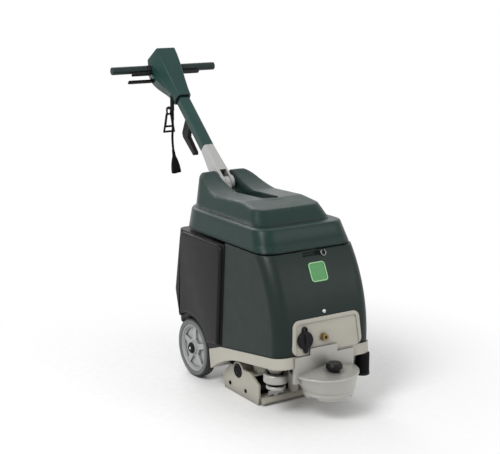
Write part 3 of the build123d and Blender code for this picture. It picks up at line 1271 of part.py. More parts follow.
with BuildPart() as pivot_pin:
    with BuildSketch(Plane.YZ.offset(-ARM_HALF_W - 4)):
        with Locations((PIVOT_Y, PIVOT_Z)):
            Circle(PIN_R)
    extrude(amount=2 * (ARM_HALF_W + 4))
    with BuildSketch(Plane.YZ.offset(ARM_HALF_W + SEAT_GAP), Plane.YZ.offset(-ARM_HALF_W - SEAT_GAP - 3)):
        with Locations((PIVOT_Y, PIVOT_Z)):
            Circle(PIN_R + 5)
    extrude(amount=3.0)
save(pivot_pin.part, "pivot_pin")

# Folding arm: forked knuckle at the pin, tapering to a spigot in the column
with BuildPart() as handle_arm:
    loft([
        section(HANDLE * Plane((0, ARM_BEHIND / 2, 0)), 2 * ARM_HALF_W, 2 * ARM_HALF_W + ARM_BEHIND, 8),
        section(HANDLE.offset(COLUMN_START - SPIGOT_GAP), COLUMN_W - 1, COLUMN_D - 1, COLUMN_R),
    ])
    with BuildSketch(Plane.YZ):
        with Locations((PIVOT_Y, PIVOT_Z)):
            Circle(ARM_KNUCKLE_R)
    extrude(amount=ARM_HALF_W, both=True)
    with BuildSketch(Plane.YZ):
        with Locations((PIVOT_Y, PIVOT_Z)):
            Circle(ARM_HALF_W + ARM_BEHIND + 8)
    extrude(amount=TONGUE_HALF + SEAT_GAP, both=True, mode=Mode.SUBTRACT)
    with BuildSketch(Plane.YZ):
        with Locations((PIVOT_Y, PIVOT_Z)):
            Circle(PIN_R + RUN_FIT)
    extrude(amount=2 * ARM_HALF_W, both=True, mode=Mode.SUBTRACT)
    spigot_w = COLUMN_W - 2 * COLUMN_WALL - 2 * SPIGOT_GAP
    spigot_d = COLUMN_D - 2 * COLUMN_WALL - 2 * SPIGOT_GAP
    extrude(
        section(HANDLE.offset(COLUMN_START - 2), spigot_w, spigot_d, COLUMN_R - COLUMN_WALL),
        amount=ARM_END - COLUMN_START + 2,
    )
save(handle_arm.part, "handle_arm")

with BuildPart() as column:
    tube = HANDLE.offset(COLUMN_START)
    extrude(section(tube, COLUMN_W, COLUMN_D, COLUMN_R), amount=COLUMN_END - COLUMN_START)
    extrude(
        section(tube, COLUMN_W - 2 * COLUMN_WALL, COLUMN_D - 2 * COLUMN_WALL, COLUMN_R - COLUMN_WALL),
        amount=COLUMN_END - COLUMN_START, mode=Mode.SUBTRACT,
    )
save(column.part, "column")


def handle_box(x_from, x_to, y_from, y_to, from_along, to_along):
    """Box square to the handle, given by its corners in the handle's own directions."""
    with BuildPart() as box:
        with BuildSketch(HANDLE.offset(from_along)):
            with Locations(((x_from + x_to) / 2, (y_from + y_to) / 2)):
                Rectangle(abs(x_to - x_from), y_to - y_from)
        extrude(amount=to_along - from_along)
    return box.part


def cross_plane(x, behind, along):
    """Plane square to the X axis at a point of the handle: right is rearward, up is along the handle."""
    return Plane(
        origin=HANDLE.from_local_coords(Vector(x, behind, along)), x_dir=HANDLE.y_dir, z_dir=(1, 0, 0)
    )


def rear_plane(x, behind, along):
    """Plane square to the handle's rearward direction, used for hinge pins."""
    return Plane(
        origin=HANDLE.from_local_coords(Vector(x, behind, along)), x_dir=(1, 0, 0), z_dir=HANDLE.y_dir
    )


HEAD_START = HEAD_STATIONS[0][0]
HEAD_END = HEAD_STATIONS[-1][0]
HEAD_SOLID = head_block(0)
with BuildPart() as head_collar:
    extrude(head_section(*HEAD_STATIONS[0], 1.0), amount=COLLAR_T)
    column_outline = section(HANDLE.offset(HEAD_START), COLUMN_W, COLUMN_D, COLUMN_R)
    extrude(column_outline, amount=COLLAR_T, mode=Mode.SUBTRACT)
HEAD_SHELL = HEAD_SOLID - head_block(HEAD_WALL) + head_collar.part

# Front half of the handle head, with the end plate that the rocker switches sit in
with BuildPart() as head_front_shell:
    add(HEAD_SHELL)
    add(handle_box(-100, 100, -100, 0, HEAD_START - 1, HEAD_END + 1), mode=Mode.INTERSECT)
    extrude(head_section(*HEAD_STATIONS[-1], 0), amount=PLATE_END_T)
    for rocker_x in (-ROCKER_X, ROCKER_X):
        window = handle_box(
            rocker_x - ROCKER_W / 2 - 0.6, rocker_x + ROCKER_W / 2 + 0.6,
            ROCKER_Y - ROCKER_L / 2 - 0.8, ROCKER_Y + ROCKER_L / 2 + 0.8,
            HEAD_END - 1, HEAD_END + PLATE_END_T + 1,
        )
        add(window, mode=Mode.SUBTRACT)
    pin_end = ROCKER_X + ROCKER_W / 2 + 2
    with BuildSketch(cross_plane(-pin_end, ROCKER_Y, HEAD_END + PLATE_END_T / 2)):
        Circle(ROCKER_PIN_R)
    extrude(amount=2 * pin_end)
save(head_front_shell.part, "head_front_shell")

for side, sign in (("left", -1), ("right", 1)):
    with BuildPart() as rocker:
        with BuildSketch(cross_plane(sign * ROCKER_X - ROCKER_W / 2, ROCKER_Y, HEAD_END + PLATE_END_T / 2)):
            Polygon(
                (-ROCKER_L / 2, -7), (ROCKER_L / 2, -7), (ROCKER_L / 2, ROCKER_H), (0, ROCKER_H - 3),
                (-ROCKER_L / 2, ROCKER_H), align=None,
            )
            Circle(ROCKER_PIN_R + RUN_FIT, mode=Mode.SUBTRACT)
        extrude(amount=ROCKER_W)
    save(rocker.part, f"{side}_rocker")

# Rear half of the handle head: holes for the bar, a slot and a hinge pin for the release lever
with BuildPart() as head_rear_shell:
    add(HEAD_SHELL)
    add(handle_box(-100, 100, 0, 100, HEAD_START - 1, HEAD_END), mode=Mode.INTERSECT)
    with BuildSketch(cross_plane(-100, BAR_BEHIND, BAR_ALONG)):
        Circle(BAR_R + SEAT_GAP)
    extrude(amount=200, mode=Mode.SUBTRACT)
    slot = handle_box(
        -100, -LEVER_PIVOT_X - 8, LEVER_BEHIND - LEVER_W / 2 - 1.5, LEVER_BEHIND + LEVER_W / 2 + 1.5,
        LEVER_ALONG - 7, LEVER_ALONG + 15,
    )
    add(slot, mode=Mode.SUBTRACT)
    with BuildPart(mode=Mode.PRIVATE) as lever_pin:
        with BuildSketch(rear_plane(-LEVER_PIVOT_X, LEVER_BEHIND - LEVER_W / 2 - 2, LEVER_ALONG)):
            Circle(LEVER_PIN_R)
        extrude(amount=LEVER_W + 30)
        add(HEAD_SOLID, mode=Mode.INTERSECT)
    add(lever_pin.part)
save(head_rear_shell.part, "head_rear_shell")

# Handlebar with the two trigger brackets on it
TRIGGER_PIVOT_X = sum(BRACKET_X) / 2
TRIGGER_ALONG = BAR_ALONG - GRIP_R - TRIGGER_GAP - TRIGGER_T / 2
with BuildPart() as handlebar:
    with BuildSketch(cross_plane(-BAR_HALF, BAR_BEHIND, BAR_ALONG)):
        Circle(BAR_R)
    extrude(amount=2 * BAR_HALF)
    for x_from in (BRACKET_X[0], -BRACKET_X[1]):
        with BuildSketch(cross_plane(x_from, BAR_BEHIND, BAR_ALONG)):
            Circle(BAR_R + 3.5)
            with Locations((0, (TRIGGER_ALONG - BAR_ALONG) / 2 - 3)):
                Rectangle(TRIGGER_W - 2 * TRIGGER_CHEEK, BAR_ALONG - TRIGGER_ALONG + 6)
        extrude(amount=BRACKET_X[1] - BRACKET_X[0])
    for pin_x in (-TRIGGER_PIVOT_X, TRIGGER_PIVOT_X):
        with BuildSketch(rear_plane(pin_x, BAR_BEHIND - TRIGGER_W, TRIGGER_ALONG)):
            Circle(TRIGGER_PIN_R + RUN_FIT)
        extrude(amount=2 * TRIGGER_W, mode=Mode.SUBTRACT)
save(handlebar.part, "handlebar")

# Grips and the squeeze triggers below them
for side, sign in (("left", -1), ("right", 1)):
    with BuildPart() as grip:
        with BuildSketch(cross_plane(sign * GRIP_IN, BAR_BEHIND, BAR_ALONG)):
            Circle(GRIP_R)
        extrude(amount=sign * (GRIP_OUT - GRIP_IN))
        fillet(grip.edges().filter_by(GeomType.CIRCLE), 3.0)
        with BuildSketch(cross_plane(sign * GRIP_IN, BAR_BEHIND, BAR_ALONG)):
            Circle(BAR_R + RUN_FIT)
        extrude(amount=sign * (BAR_HALF + SEAT_GAP - GRIP_IN), mode=Mode.SUBTRACT)
    save(grip.part, f"{side}_grip")

    low = TRIGGER_ALONG - TRIGGER_T / 2
    high = TRIGGER_ALONG + TRIGGER_T / 2
    near = BAR_BEHIND - TRIGGER_W / 2
    far = BAR_BEHIND + TRIGGER_W / 2
    cheek = TRIGGER_CHEEK - SEAT_GAP
    with BuildPart() as trigger:
        add(handle_box(sign * (BRACKET_X[1] + 1.5), sign * TRIGGER_END_X, near, far, low, high))
        ends = trigger.faces().filter_by(Axis.X).sort_by(Axis.X)
        fillet((ends[-1] if sign > 0 else ends[0]).edges(), 2.5)
        add(handle_box(sign * (BRACKET_X[0] - 1), sign * (BRACKET_X[1] + 2), near, near + cheek, low, high))
        add(handle_box(sign * (BRACKET_X[0] - 1), sign * (BRACKET_X[1] + 2), far - cheek, far, low, high))
        with BuildSketch(rear_plane(sign * TRIGGER_PIVOT_X, near, TRIGGER_ALONG)):
            Circle(TRIGGER_PIN_R)
        extrude(amount=TRIGGER_W)
    save(trigger.part, f"{side}_trigger")

# Lever below the left grip that lets the handle fold
with BuildPart() as release_lever:
    with BuildSketch(rear_plane(0, LEVER_BEHIND - LEVER_W / 2, LEVER_ALONG)):
        with Locations((-(LEVER_PIVOT_X + LEVER_END_X) / 2, 0)):
            SlotOverall(LEVER_END_X - LEVER_PIVOT_X + LEVER_T, LEVER_T)
        with Locations((-LEVER_PIVOT_X, 0)):
            Circle(LEVER_PIN_R + 3.5)
            Circle(LEVER_PIN_R + RUN_FIT, mode=Mode.SUBTRACT)
    extrude(amount=LEVER_W)
save(release_lever.part, "release_lever")

# Hook behind the column for the wound cord
with BuildPart() as cord_hook:
    with BuildSketch(cross_plane(HOOK_X - HOOK_W / 2, 0, 0)):
        Polygon(*HOOK_OUTLINE, align=None)
    extrude(amount=HOOK_W)
save(cord_hook.part, "cord_hook")

# Gland that lets the cord out of the handle head, with a peg for the strain buckle
with BuildPart() as cord_gland:
    with BuildSketch(Plane.XY.offset(GLAND_Z[0])):
        with Locations((GLAND_X, GLAND_Y)):
            Circle(GLAND_R)
    extrude(amount=GLAND_Z[1] - GLAND_Z[0])
    with BuildSketch(Plane.XZ.offset(-GLAND_Y + 3)):
        with Locations(((GLAND_X + BUCKLE_X) / 2, PEG_Z)):
            Rectangle(GLAND_X - BUCKLE_X, 2 * PEG_R)
        with Locations((BUCKLE_X, PEG_Z)):
            Circle(PEG_R)
    extrude(amount=-6.0)
    with BuildSketch(Plane.XZ.offset(-GLAND_Y)):
        with Locations((BUCKLE_X, PEG_Z)):
            Circle(PEG_R)
    extrude(amount=-BUCKLE_BEHIND - BUCKLE_T - 2)
    add(HEAD_SOLID, mode=Mode.SUBTRACT)
    add(handle_box(-COLUMN_W / 2, COLUMN_W / 2, -COLUMN_D / 2, COLUMN_D / 2, COLUMN_START, COLUMN_END),
        mode=Mode.SUBTRACT)
save(cord_gland.part, "cord_gland")

# Supply cord hanging from the gland: four points, joined by wide bends
CORD_POINTS = (
    (GLAND_X, GLAND_Y, GLAND_Z[0] - SEAT_GAP),
    (GLAND_X + 2.5, GLAND_Y - 0.5, GLAND_LOW_Z - 54.0),
    (GLAND_X - 3.0, GLAND_Y + 0.5, GLAND_LOW_Z - 111.0),
    (GLAND_X + 5.0, GLAND_Y, PLUG_Z),
)


def bend_radii(points):
    """Bend radius at each inner point: tangent lengths stay under half of the shorter run."""
    radii = []
    for before, here, after in zip(points, points[1:], points[2:]):
        run_in = Vector(here) - Vector(before)
        run_out = Vector(after) - Vector(here)
        half_turn = math.radians(run_in.get_angle(run_out)) / 2
        radii.append(0.45 * min(run_in.length, run_out.length) / math.tan(half_turn))
    return radii


CORD_RADII = bend_radii(CORD_POINTS)
print("cord bend radii", [round(radius, 1) for radius in CORD_RADII])
with BuildPart() as power_cord:
    with BuildLine() as cord_line:
        FilletPolyline(*CORD_POINTS, radius=min(CORD_RADII))
    with BuildSketch(Plane(origin=cord_line.line @ 0, z_dir=cord_line.line % 0)):
        Circle(CORD_R)
    sweep()
save(power_cord.part, "power_cord")

# Moulded plug in line with the cord's last run, with three blind contact slots
PLUG_DIR = (Vector(CORD_POINTS[-1]) - Vector(CORD_POINTS[-2])).normalized()
PLUG = Plane(origin=Vector(CORD_POINTS[-1]) + PLUG_DIR * SEAT_GAP, x_dir=(1, 0, 0), z_dir=PLUG_DIR)
with BuildPart() as cord_plug:
    loft([section(PLUG.offset(along), *size) for along, *size in PLUG_SECTIONS])
    with BuildSketch(PLUG.offset(PLUG_L)):
        with Locations((-6.5, -2), (6.5, -2)):
            Rectangle(2.2, 7.0)
        with Locations((0, 6)):
            Circle(2.6)
    extrude(amount=-10.0, mode=Mode.SUBTRACT)
save(cord_plug.part, "cord_plug")

# Strain buckle on the peg: an eye above a frame with a crossbar
with BuildPart() as cord_buckle:
    eye_top = PEG_Z + PEG_R + SEAT_GAP + BUCKLE_T
    with BuildSketch(Plane.XZ.offset(-GLAND_Y - BUCKLE_BEHIND)):
        with Locations((BUCKLE_X, eye_top - EYE_H / 2)):
            SlotOverall(EYE_H, EYE_W, rotation=90)
            SlotOverall(EYE_H - 2 * BUCKLE_T, EYE_W - 2 * BUCKLE_T, rotation=90, mode=Mode.SUBTRACT)
        with Locations((BUCKLE_X, eye_top - EYE_H + BUCKLE_T)):
            Polygon((-12, 0), (12, 0), (FRAME_W / 2, -FRAME_H), (-FRAME_W / 2, -FRAME_H), align=None)
            Polygon(
                (-6, -6), (6, -6), (FRAME_W / 2 - 12, -FRAME_H + 26), (12 - FRAME_W / 2, -FRAME_H + 26),
                align=None, mode=Mode.SUBTRACT,
            )
            Polygon(
                (FRAME_W / 2 - 9, -FRAME_H + 19), (9 - FRAME_W / 2, -FRAME_H + 19),
                (7 - FRAME_W / 2, -FRAME_H + 7), (FRAME_W / 2 - 7, -FRAME_H + 7),
                align=None, mode=Mode.SUBTRACT,
            )
    extrude(amount=-BUCKLE_T)
save(cord_buckle.part, "cord_buckle")
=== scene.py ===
import json
import math
import random

import bmesh
import bpy
from mathutils import Matrix, Vector
from mathutils.bvhtree import BVHTree


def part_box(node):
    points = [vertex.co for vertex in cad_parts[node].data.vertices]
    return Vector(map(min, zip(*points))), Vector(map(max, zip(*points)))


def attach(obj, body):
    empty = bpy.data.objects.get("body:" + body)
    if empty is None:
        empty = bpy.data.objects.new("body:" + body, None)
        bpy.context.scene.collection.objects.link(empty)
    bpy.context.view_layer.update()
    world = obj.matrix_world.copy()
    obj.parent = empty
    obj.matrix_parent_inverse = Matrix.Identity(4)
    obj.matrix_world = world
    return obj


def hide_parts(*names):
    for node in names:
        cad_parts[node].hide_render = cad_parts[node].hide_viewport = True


# Looks of a walk-behind carpet extractor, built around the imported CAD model.
# Metres, in the CAD model's own frame: front towards -Y, operator towards +Y, floor at Z = 0.
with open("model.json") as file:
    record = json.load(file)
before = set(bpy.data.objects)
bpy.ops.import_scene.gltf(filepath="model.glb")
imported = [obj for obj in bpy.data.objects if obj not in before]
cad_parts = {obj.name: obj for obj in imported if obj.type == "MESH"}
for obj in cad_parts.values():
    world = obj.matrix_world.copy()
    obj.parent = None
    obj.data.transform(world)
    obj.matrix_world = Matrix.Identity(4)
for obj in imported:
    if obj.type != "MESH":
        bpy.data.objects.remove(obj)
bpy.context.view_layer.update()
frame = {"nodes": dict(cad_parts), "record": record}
NODES = frame["nodes"]

X_AXIS = Vector((1.0, 0.0, 0.0))
Z_AXIS = Vector((0.0, 0.0, 1.0))
SIDES = (("left", -1), ("right", 1))
TINY = 1e-6

# Places that part.py also names; the rollers' are along Y from the axle
AXLE_Y = 0.04836
WHEEL_R = 0.1016
PIVOT = Vector((0.0, AXLE_Y + 0.071, 0.650))
LEAN = math.radians(48.5)
ALONG = Vector((0.0, math.sin(LEAN), math.cos(LEAN)))
BEHIND = Vector((0.0, math.cos(LEAN), -math.sin(LEAN)))
ROLLERS = (("rear", -0.188), ("front", -0.284))
ROLLER_Z = 0.0265

# Camera that took the photograph
PHOTO_W = 500
FOCAL_PX = 1186.61
SENSOR_W = 36.0
CAMERA_AT = Vector((-2.09871, AXLE_Y - 3.38646, 1.40565))
CAMERA_TURN = math.radians(32.484)
CAMERA_TILT = math.radians(12.732)


# Colours, written as they look on screen


def colour(red, green, blue):
    """Linear colour of a screen colour given from 0 to 255."""
    channels = []
    for value in (red, green, blue):
        share = value / 255
        channels.append(share / 12.92 if share <= 0.04045 else ((share + 0.055) / 1.055) ** 2.4)
    return (*channels, 1.0)


def shade(rgba, gain):
    """The same colour, lighter or darker."""
    return (*[min(1.0, channel * gain) for channel in rgba[:3]], 1.0)


LID_GREEN = colour(11, 42, 37)
HANDLE_GREEN = colour(16, 56, 51)
TANK_GREEN = colour(14, 31, 27)
CHARCOAL = colour(15, 15, 16)
WARM_GREY = colour(174, 171, 160)
COOL_GREY = colour(172, 171, 165)
HUB_GREY = colour(170, 171, 171)
TYRE_GREY = colour(112, 114, 115)
TREAD_GREY = colour(52, 53, 54)
SILVER = colour(172, 172, 170)
BLACK = colour(9, 9, 10)
RUBBER_BLACK = colour(6, 6, 7)
MOTOR_GREY = colour(26, 29, 29)
GRIP_GREEN = colour(24, 40, 38)
BADGE_GREEN = colour(28, 128, 46)
BADGE_PALE = colour(170, 205, 164)
BRISTLE_GREY = colour(62, 66, 68)
BALL_WHITE = colour(226, 224, 214)
ZINC = colour(196, 196, 198)
RING_ZINC = colour(132, 134, 134)
BRASS = colour(134, 117, 80)
FLOOR_DULL = colour(246, 246, 246)
FLOOR_PALE = colour(250, 250, 250)

# Materials: scales of their noise in repeats per metre, heights of their bump in metres
DRIFT_SCALE = 5.0
GLOSS_SCALE = 22.0
SCUFF_SCALE = 70.0
TARNISH_SCALE = 18.0
STREAK_SCALE = 260.0
FLOOR_SCALE = 40.0
GRAIN_HEIGHT = 0.0006
STREAK_HEIGHT = 0.0003
WIDEST_WEAR = 0.004
# Ends of the range that noise mostly keeps to, of shelter from corner to open face, and of an edge's bend
NOISE_LOW = 0.3
NOISE_HIGH = 0.7
SHELTERED = 0.35
OPEN_FACE = 0.8
FLAT = 0.99
SHARP = 0.8
COAT_ROUGH = 0.25
TREAD_FROM = WHEEL_R - 0.008
TREAD_TO = WHEEL_R - 0.003


def looking_rays(tree):
    """One for rays that look: from the camera, off gloss or through glass."""
    path = tree.nodes.new("ShaderNodeLightPath")
    total = path.outputs["Is Camera Ray"]
    for kind in ("Is Glossy Ray", "Is Transmission Ray"):
        node = tree.nodes.new("ShaderNodeMath")
        node.operation = "MAXIMUM"
        tree.links.new(total, node.inputs[0])
        tree.links.new(path.outputs[kind], node.inputs[1])
        total = node.outputs["Value"]
    return total


class Shader:
    """Node material under construction."""

    def __init__(self, name):
        self.material = bpy.data.materials.new(name)
        self.material.use_nodes = True
        self.tree = self.material.node_tree
        self.surface = self.tree.nodes["Principled BSDF"]
        self.place = self.add("ShaderNodeTexCoord").outputs["Object"]

    def add(self, kind):
        return self.tree.nodes.new(kind)

    def link(self, out, into):
        self.tree.links.new(out, into)

    def noise(self, scale, detail=3.0):
        """Noise in the part's own space."""
        node = self.add("ShaderNodeTexNoise")
        node.inputs["Scale"].default_value = scale
        node.inputs["Detail"].default_value = detail
        self.link(self.place, node.inputs["Vector"])
        return node.outputs["Fac"]

    def remap(self, value, low, high, to_low, to_high):
        node = self.add("ShaderNodeMapRange")
        node.inputs["From Min"].default_value = low
        node.inputs["From Max"].default_value = high
        node.inputs["To Min"].default_value = to_low
        node.inputs["To Max"].default_value = to_high
        self.link(value, node.inputs["Value"])
        return node.outputs["Result"]

    def times(self, first, second):
        node = self.add("ShaderNodeMath")
        node.operation = "MULTIPLY"
        self.link(first, node.inputs[0])
        self.link(second, node.inputs[1])
        return node.outputs["Value"]

    def mix(self, factor, first, second):
        """Colour between two; each is a colour or another node's output."""
        node = self.add("ShaderNodeMix")
        node.data_type = "RGBA"
        self.link(factor, node.inputs["Factor"])
        colours = [socket for socket in node.inputs if socket.type == "RGBA"]
        for socket, value in zip(colours, (first, second)):
            if isinstance(value, tuple):
                socket.default_value = value
            else:
                self.link(value, socket)
        return [out for out in node.outputs if out.type == "RGBA"][0]

    def rounded_normal(self, radius):
        node = self.add("ShaderNodeBevel")
        node.samples = 8
        node.inputs["Radius"].default_value = radius
        return node.outputs["Normal"]

    def edges(self, radius):
        """One along sharp edges, nought on open faces."""
        geometry = self.add("ShaderNodeNewGeometry")
        dot = self.add("ShaderNodeVectorMath")
        dot.operation = "DOT_PRODUCT"
        self.link(self.rounded_normal(radius), dot.inputs[0])
        self.link(geometry.outputs["Normal"], dot.inputs[1])
        return self.remap(dot.outputs["Value"], FLAT, SHARP, 0.0, 1.0)

    def tread(self):
        """One on the running face of a tyre, nought on its sides."""
        away = self.add("ShaderNodeVectorMath")
        away.operation = "MULTIPLY_ADD"
        away.inputs[1].default_value = (0.0, 1.0, 1.0)
        away.inputs[2].default_value = (0.0, -AXLE_Y, -WHEEL_R)
        self.link(self.place, away.inputs[0])
        span = self.add("ShaderNodeVectorMath")
        span.operation = "LENGTH"
        self.link(away.outputs["Vector"], span.inputs[0])
        return self.remap(span.outputs["Value"], TREAD_FROM, TREAD_TO, 0.0, 1.0)

    def shelter(self, reach):
        """One on open faces, towards nought in corners and hollows."""
        node = self.add("ShaderNodeAmbientOcclusion")
        node.samples = 4
        node.inputs["Distance"].default_value = reach
        return node.outputs["AO"]

    def bump(self, height, strength, distance, normal):
        node = self.add("ShaderNodeBump")
        node.inputs["Strength"].default_value = strength
        node.inputs["Distance"].default_value = distance
        self.link(height, node.inputs["Height"])
        self.link(normal, node.inputs["Normal"])
        return node.outputs["Normal"]


def moulded(
    name, tint, rough, grain=420.0, depth=0.12, vary=0.10, wear=0.25, edge=0.0012, coat=0.0, specular=0.3,
    corner_shade=0.8, corner_shade_reach=0.04, mottle=0.07, metallic=0.0, tread=None,
):
    """Plastic, rubber or paint: colour drift, grained gloss, paler worn edges, painted shade darkening its
    corners, hollows and undersides.
    """
    made = Shader(name)
    drift = made.remap(made.noise(DRIFT_SCALE), NOISE_LOW, NOISE_HIGH, 0.0, 1.0)
    base = made.mix(drift, shade(tint, 1 - vary), shade(tint, 1 + vary))
    if tread:
        base = made.mix(made.tread(), base, tread)
    scuffs = made.remap(made.noise(SCUFF_SCALE, 5.0), 0.42, NOISE_HIGH, 0.0, wear)
    worn = made.times(made.edges(min(2 * edge, WIDEST_WEAR)), scuffs)
    pale = tuple(0.55 * channel + 0.2 for channel in tint[:3]) + (1.0,)
    base = made.mix(worn, base, pale)
    # Painted shade: where ambient occlusion finds a corner, hollow or the nearby floor, the colour darkens
    # towards a tenth of the tint
    painted_shade = made.remap(made.shelter(corner_shade_reach), SHELTERED, OPEN_FACE, corner_shade, 0.0)
    made.link(made.mix(painted_shade, base, shade(tint, 0.1)), made.surface.inputs["Base Color"])
    made.surface.inputs["Specular IOR Level"].default_value = specular
    made.surface.inputs["Metallic"].default_value = metallic
    patches = made.noise(GLOSS_SCALE, 4.0)
    gloss = made.remap(patches, NOISE_LOW, NOISE_HIGH, rough - mottle, rough + mottle)
    made.link(gloss, made.surface.inputs["Roughness"])
    normal = made.bump(made.noise(grain, 2.0), depth, GRAIN_HEIGHT, made.rounded_normal(edge))
    made.link(normal, made.surface.inputs["Normal"])
    made.surface.inputs["Coat Weight"].default_value = coat
    made.surface.inputs["Coat Roughness"].default_value = COAT_ROUGH
    return made.material


def metal(name, tint, rough, depth=0.08, vary=0.12, edge=0.0008):
    """Bare or plated metal with a fine uneven gloss and a little tarnish."""
    made = Shader(name)
    made.surface.inputs["Metallic"].default_value = 1.0
    tarnish = made.remap(made.noise(TARNISH_SCALE, 4.0), NOISE_LOW, 0.75, 0.0, 1.0)
    base = made.mix(tarnish, shade(tint, 1 + vary), shade(tint, 1 - vary))
    made.link(base, made.surface.inputs["Base Color"])
    streaks = made.noise(STREAK_SCALE, 3.0)
    gloss = made.remap(streaks, NOISE_LOW, NOISE_HIGH, rough - 0.07, rough + 0.1)
    made.link(gloss, made.surface.inputs["Roughness"])
    normal = made.bump(streaks, depth, STREAK_HEIGHT, made.rounded_normal(edge))
    made.link(normal, made.surface.inputs["Normal"])
    return made.material


# One finish for each slot of the record, then the few that a slot's own finish doesn't suit
FINISHES = {
    "lid_green": moulded(
        "lid_green_plastic", LID_GREEN, 0.36,
        depth=0.16, vary=0.05, coat=0.12, edge=0.022, specular=0.22, mottle=0.03,
    ),
    "handle_green": moulded("handle_green_plastic", HANDLE_GREEN, 0.36, depth=0.14, coat=0.1, edge=0.006),
    "tank_green": moulded(
        "tank_green_plastic", TANK_GREEN, 0.40, depth=0.2, vary=0.06, edge=0.006, specular=0.26, mottle=0.04,
    ),
    "charcoal": moulded(
        "charcoal_plastic", CHARCOAL, 0.42,
        grain=700.0, depth=0.12, vary=0.04, edge=0.006, specular=0.2, mottle=0.02,
    ),
    "warm_grey": moulded(
        "warm_grey_plastic", WARM_GREY, 0.46, grain=600.0, depth=0.18, vary=0.05, corner_shade_reach=0.05,
    ),
    "cool_grey": moulded(
        "cool_grey_paint", COOL_GREY, 0.36,
        depth=0.2, grain=240.0, vary=0.07, metallic=0.45, corner_shade=0.6, corner_shade_reach=0.06,
    ),
    "wheel_grey": moulded("wheel_grey_plastic", HUB_GREY, 0.45, vary=0.06, corner_shade_reach=0.025),
    "tyre_grey": moulded(
        "tyre_grey_rubber", TYRE_GREY, 0.72, grain=900.0, depth=0.35, vary=0.08, tread=TREAD_GREY,
    ),
    "silver": moulded("silver_paint", SILVER, 0.38, grain=900.0, depth=0.2, vary=0.04, coat=0.3),
    "black_plastic": moulded("black_plastic", BLACK, 0.36, specular=0.2),
    "black_rubber": moulded("black_rubber", RUBBER_BLACK, 0.6, grain=900.0, depth=0.25, specular=0.1),
    "steel": metal("bright_zinc", ZINC, 0.32),
    "motor_paint": moulded("motor_paint", MOTOR_GREY, 0.4, wear=0.4),
    "brass": metal("brass", BRASS, 0.4),
    "badge_green": moulded("badge_green_gloss", BADGE_GREEN, 0.25, vary=0.06, coat=0.6),
    "badge_border": moulded("badge_border_gloss", BADGE_PALE, 0.3, vary=0.04, wear=0.0),
    "bristle": moulded("nylon_bristle", BRISTLE_GREY, 0.5, wear=0.0),
    "ball": moulded("float_ball_plastic", BALL_WHITE, 0.3),
    "ring_wire": metal("ring_wire", RING_ZINC, 0.34),
    "grip_rubber": moulded("grip_rubber", GRIP_GREEN, 0.5, grain=900.0, depth=0.25, edge=0.003),
}
OWN_FINISH = {"left_grip": "grip_rubber", "right_grip": "grip_rubber", "lid_ring": "ring_wire"}
for part in frame["record"]["subparts"]:
    mesh = NODES[part["node"]].data
    mesh.materials.clear()
    mesh.materials.append(FINISHES[OWN_FINISH.get(part["node"], part["material_slot"])])


# Ways to make a piece


def piece(name, work, body, finish, smooth=True):
    """Finished bmesh as an object of its own, riding on a CAD body."""
    bmesh.ops.recalc_face_normals(work, faces=work.faces)
    mesh = bpy.data.meshes.new(name)
    work.to_mesh(mesh)
    work.free()
    made = bpy.data.objects.new(name, mesh)
    bpy.context.scene.collection.objects.link(made)
    mesh.materials.append(FINISHES[finish])
    for face in mesh.polygons:
        face.use_smooth = smooth
    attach(made, body)
    return made


def facing(at, normal):
    """Matrix that puts local Z on a normal, at a point."""
    out = Vector(normal).normalized()
    side = Z_AXIS.cross(out)
    side = side.normalized() if side.length > TINY else X_AXIS
    turn = Matrix((side, out.cross(side), out)).transposed()
    return Matrix.Translation(at) @ turn.to_4x4()


def surface_point(node, start, direction):
    """First point of a CAD node met from a start point, and the outward normal there."""
    mesh = NODES[node].data
    tree = BVHTree.FromPolygons([v.co[:] for v in mesh.vertices], [p.vertices[:] for p in mesh.polygons])
    at, normal, _, _ = tree.ray_cast(Vector(start), Vector(direction))
    return at, (normal if normal.dot(Vector(direction)) < 0 else -normal)


def angles(count):
    """Equal steps once round."""
    return [2 * math.pi * step / count for step in range(count)]


def skin(work, rings, closed=False):
    """Faces from each ring of corners to the next, and from the last to the first if closed."""
    count = len(rings[0])
    for low, high in zip(rings, rings[1:] + rings[:1] if closed else rings[1:]):
        for step in range(count):
            after = (step + 1) % count
            work.faces.new((low[step], low[after], high[after], high[step]))


def lathe(name, profile, place, body, finish, sides=40):
    """Turned piece: the profile is pairs of radius and height along local Z."""
    work = bmesh.new()
    rings = []
    for radius, height in profile:
        if radius < TINY:
            rings.append([work.verts.new(place @ Vector((0, 0, height)))])
            continue
        rings.append([
            work.verts.new(place @ Vector((radius * math.cos(a), radius * math.sin(a), height)))
            for a in angles(sides)
        ])
    for low, high in zip(rings, rings[1:]):
        for step in range(sides):
            after = (step + 1) % sides
            ring = [
                low[step % len(low)], low[after % len(low)], high[after % len(high)], high[step % len(high)],
            ]
            corners = list(dict.fromkeys(ring))
            if len(corners) > 2:
                work.faces.new(corners)
    bmesh.ops.remove_doubles(work, verts=work.verts, dist=TINY)
    return piece(name, work, body, finish)


def rounded_rectangle(half_w, half_h, corner, steps=6):
    """Points round a rectangle with round corners."""
    points = []
    for turn, (side, rise) in enumerate(((1, 1), (-1, 1), (-1, -1), (1, -1))):
        for step in range(steps + 1):
            angle = math.pi / 2 * (turn + step / steps)
            points.append((
                side * (half_w - corner) + corner * math.cos(angle),
                rise * (half_h - corner) + corner * math.sin(angle),
            ))
    return points


def band_ring(name, place, body, finish, half_w, half_h, corner, wide, low, high, round_edge=0.0004):
    """Closed ring of small section that follows a rounded rectangle."""
    work = bmesh.new()
    section = (
        (0.0, low), (0.0, high - round_edge), (round_edge, high), (wide - round_edge, high),
        (wide, high - round_edge), (wide, low),
    )
    loops = []
    for inset, height in section:
        outline = rounded_rectangle(half_w - inset, half_h - inset, max(corner - inset, 0.0005))
        loops.append([work.verts.new(place @ Vector((x, y, height))) for x, y in outline])
    skin(work, loops, closed=True)
    return piece(name, work, body, finish)


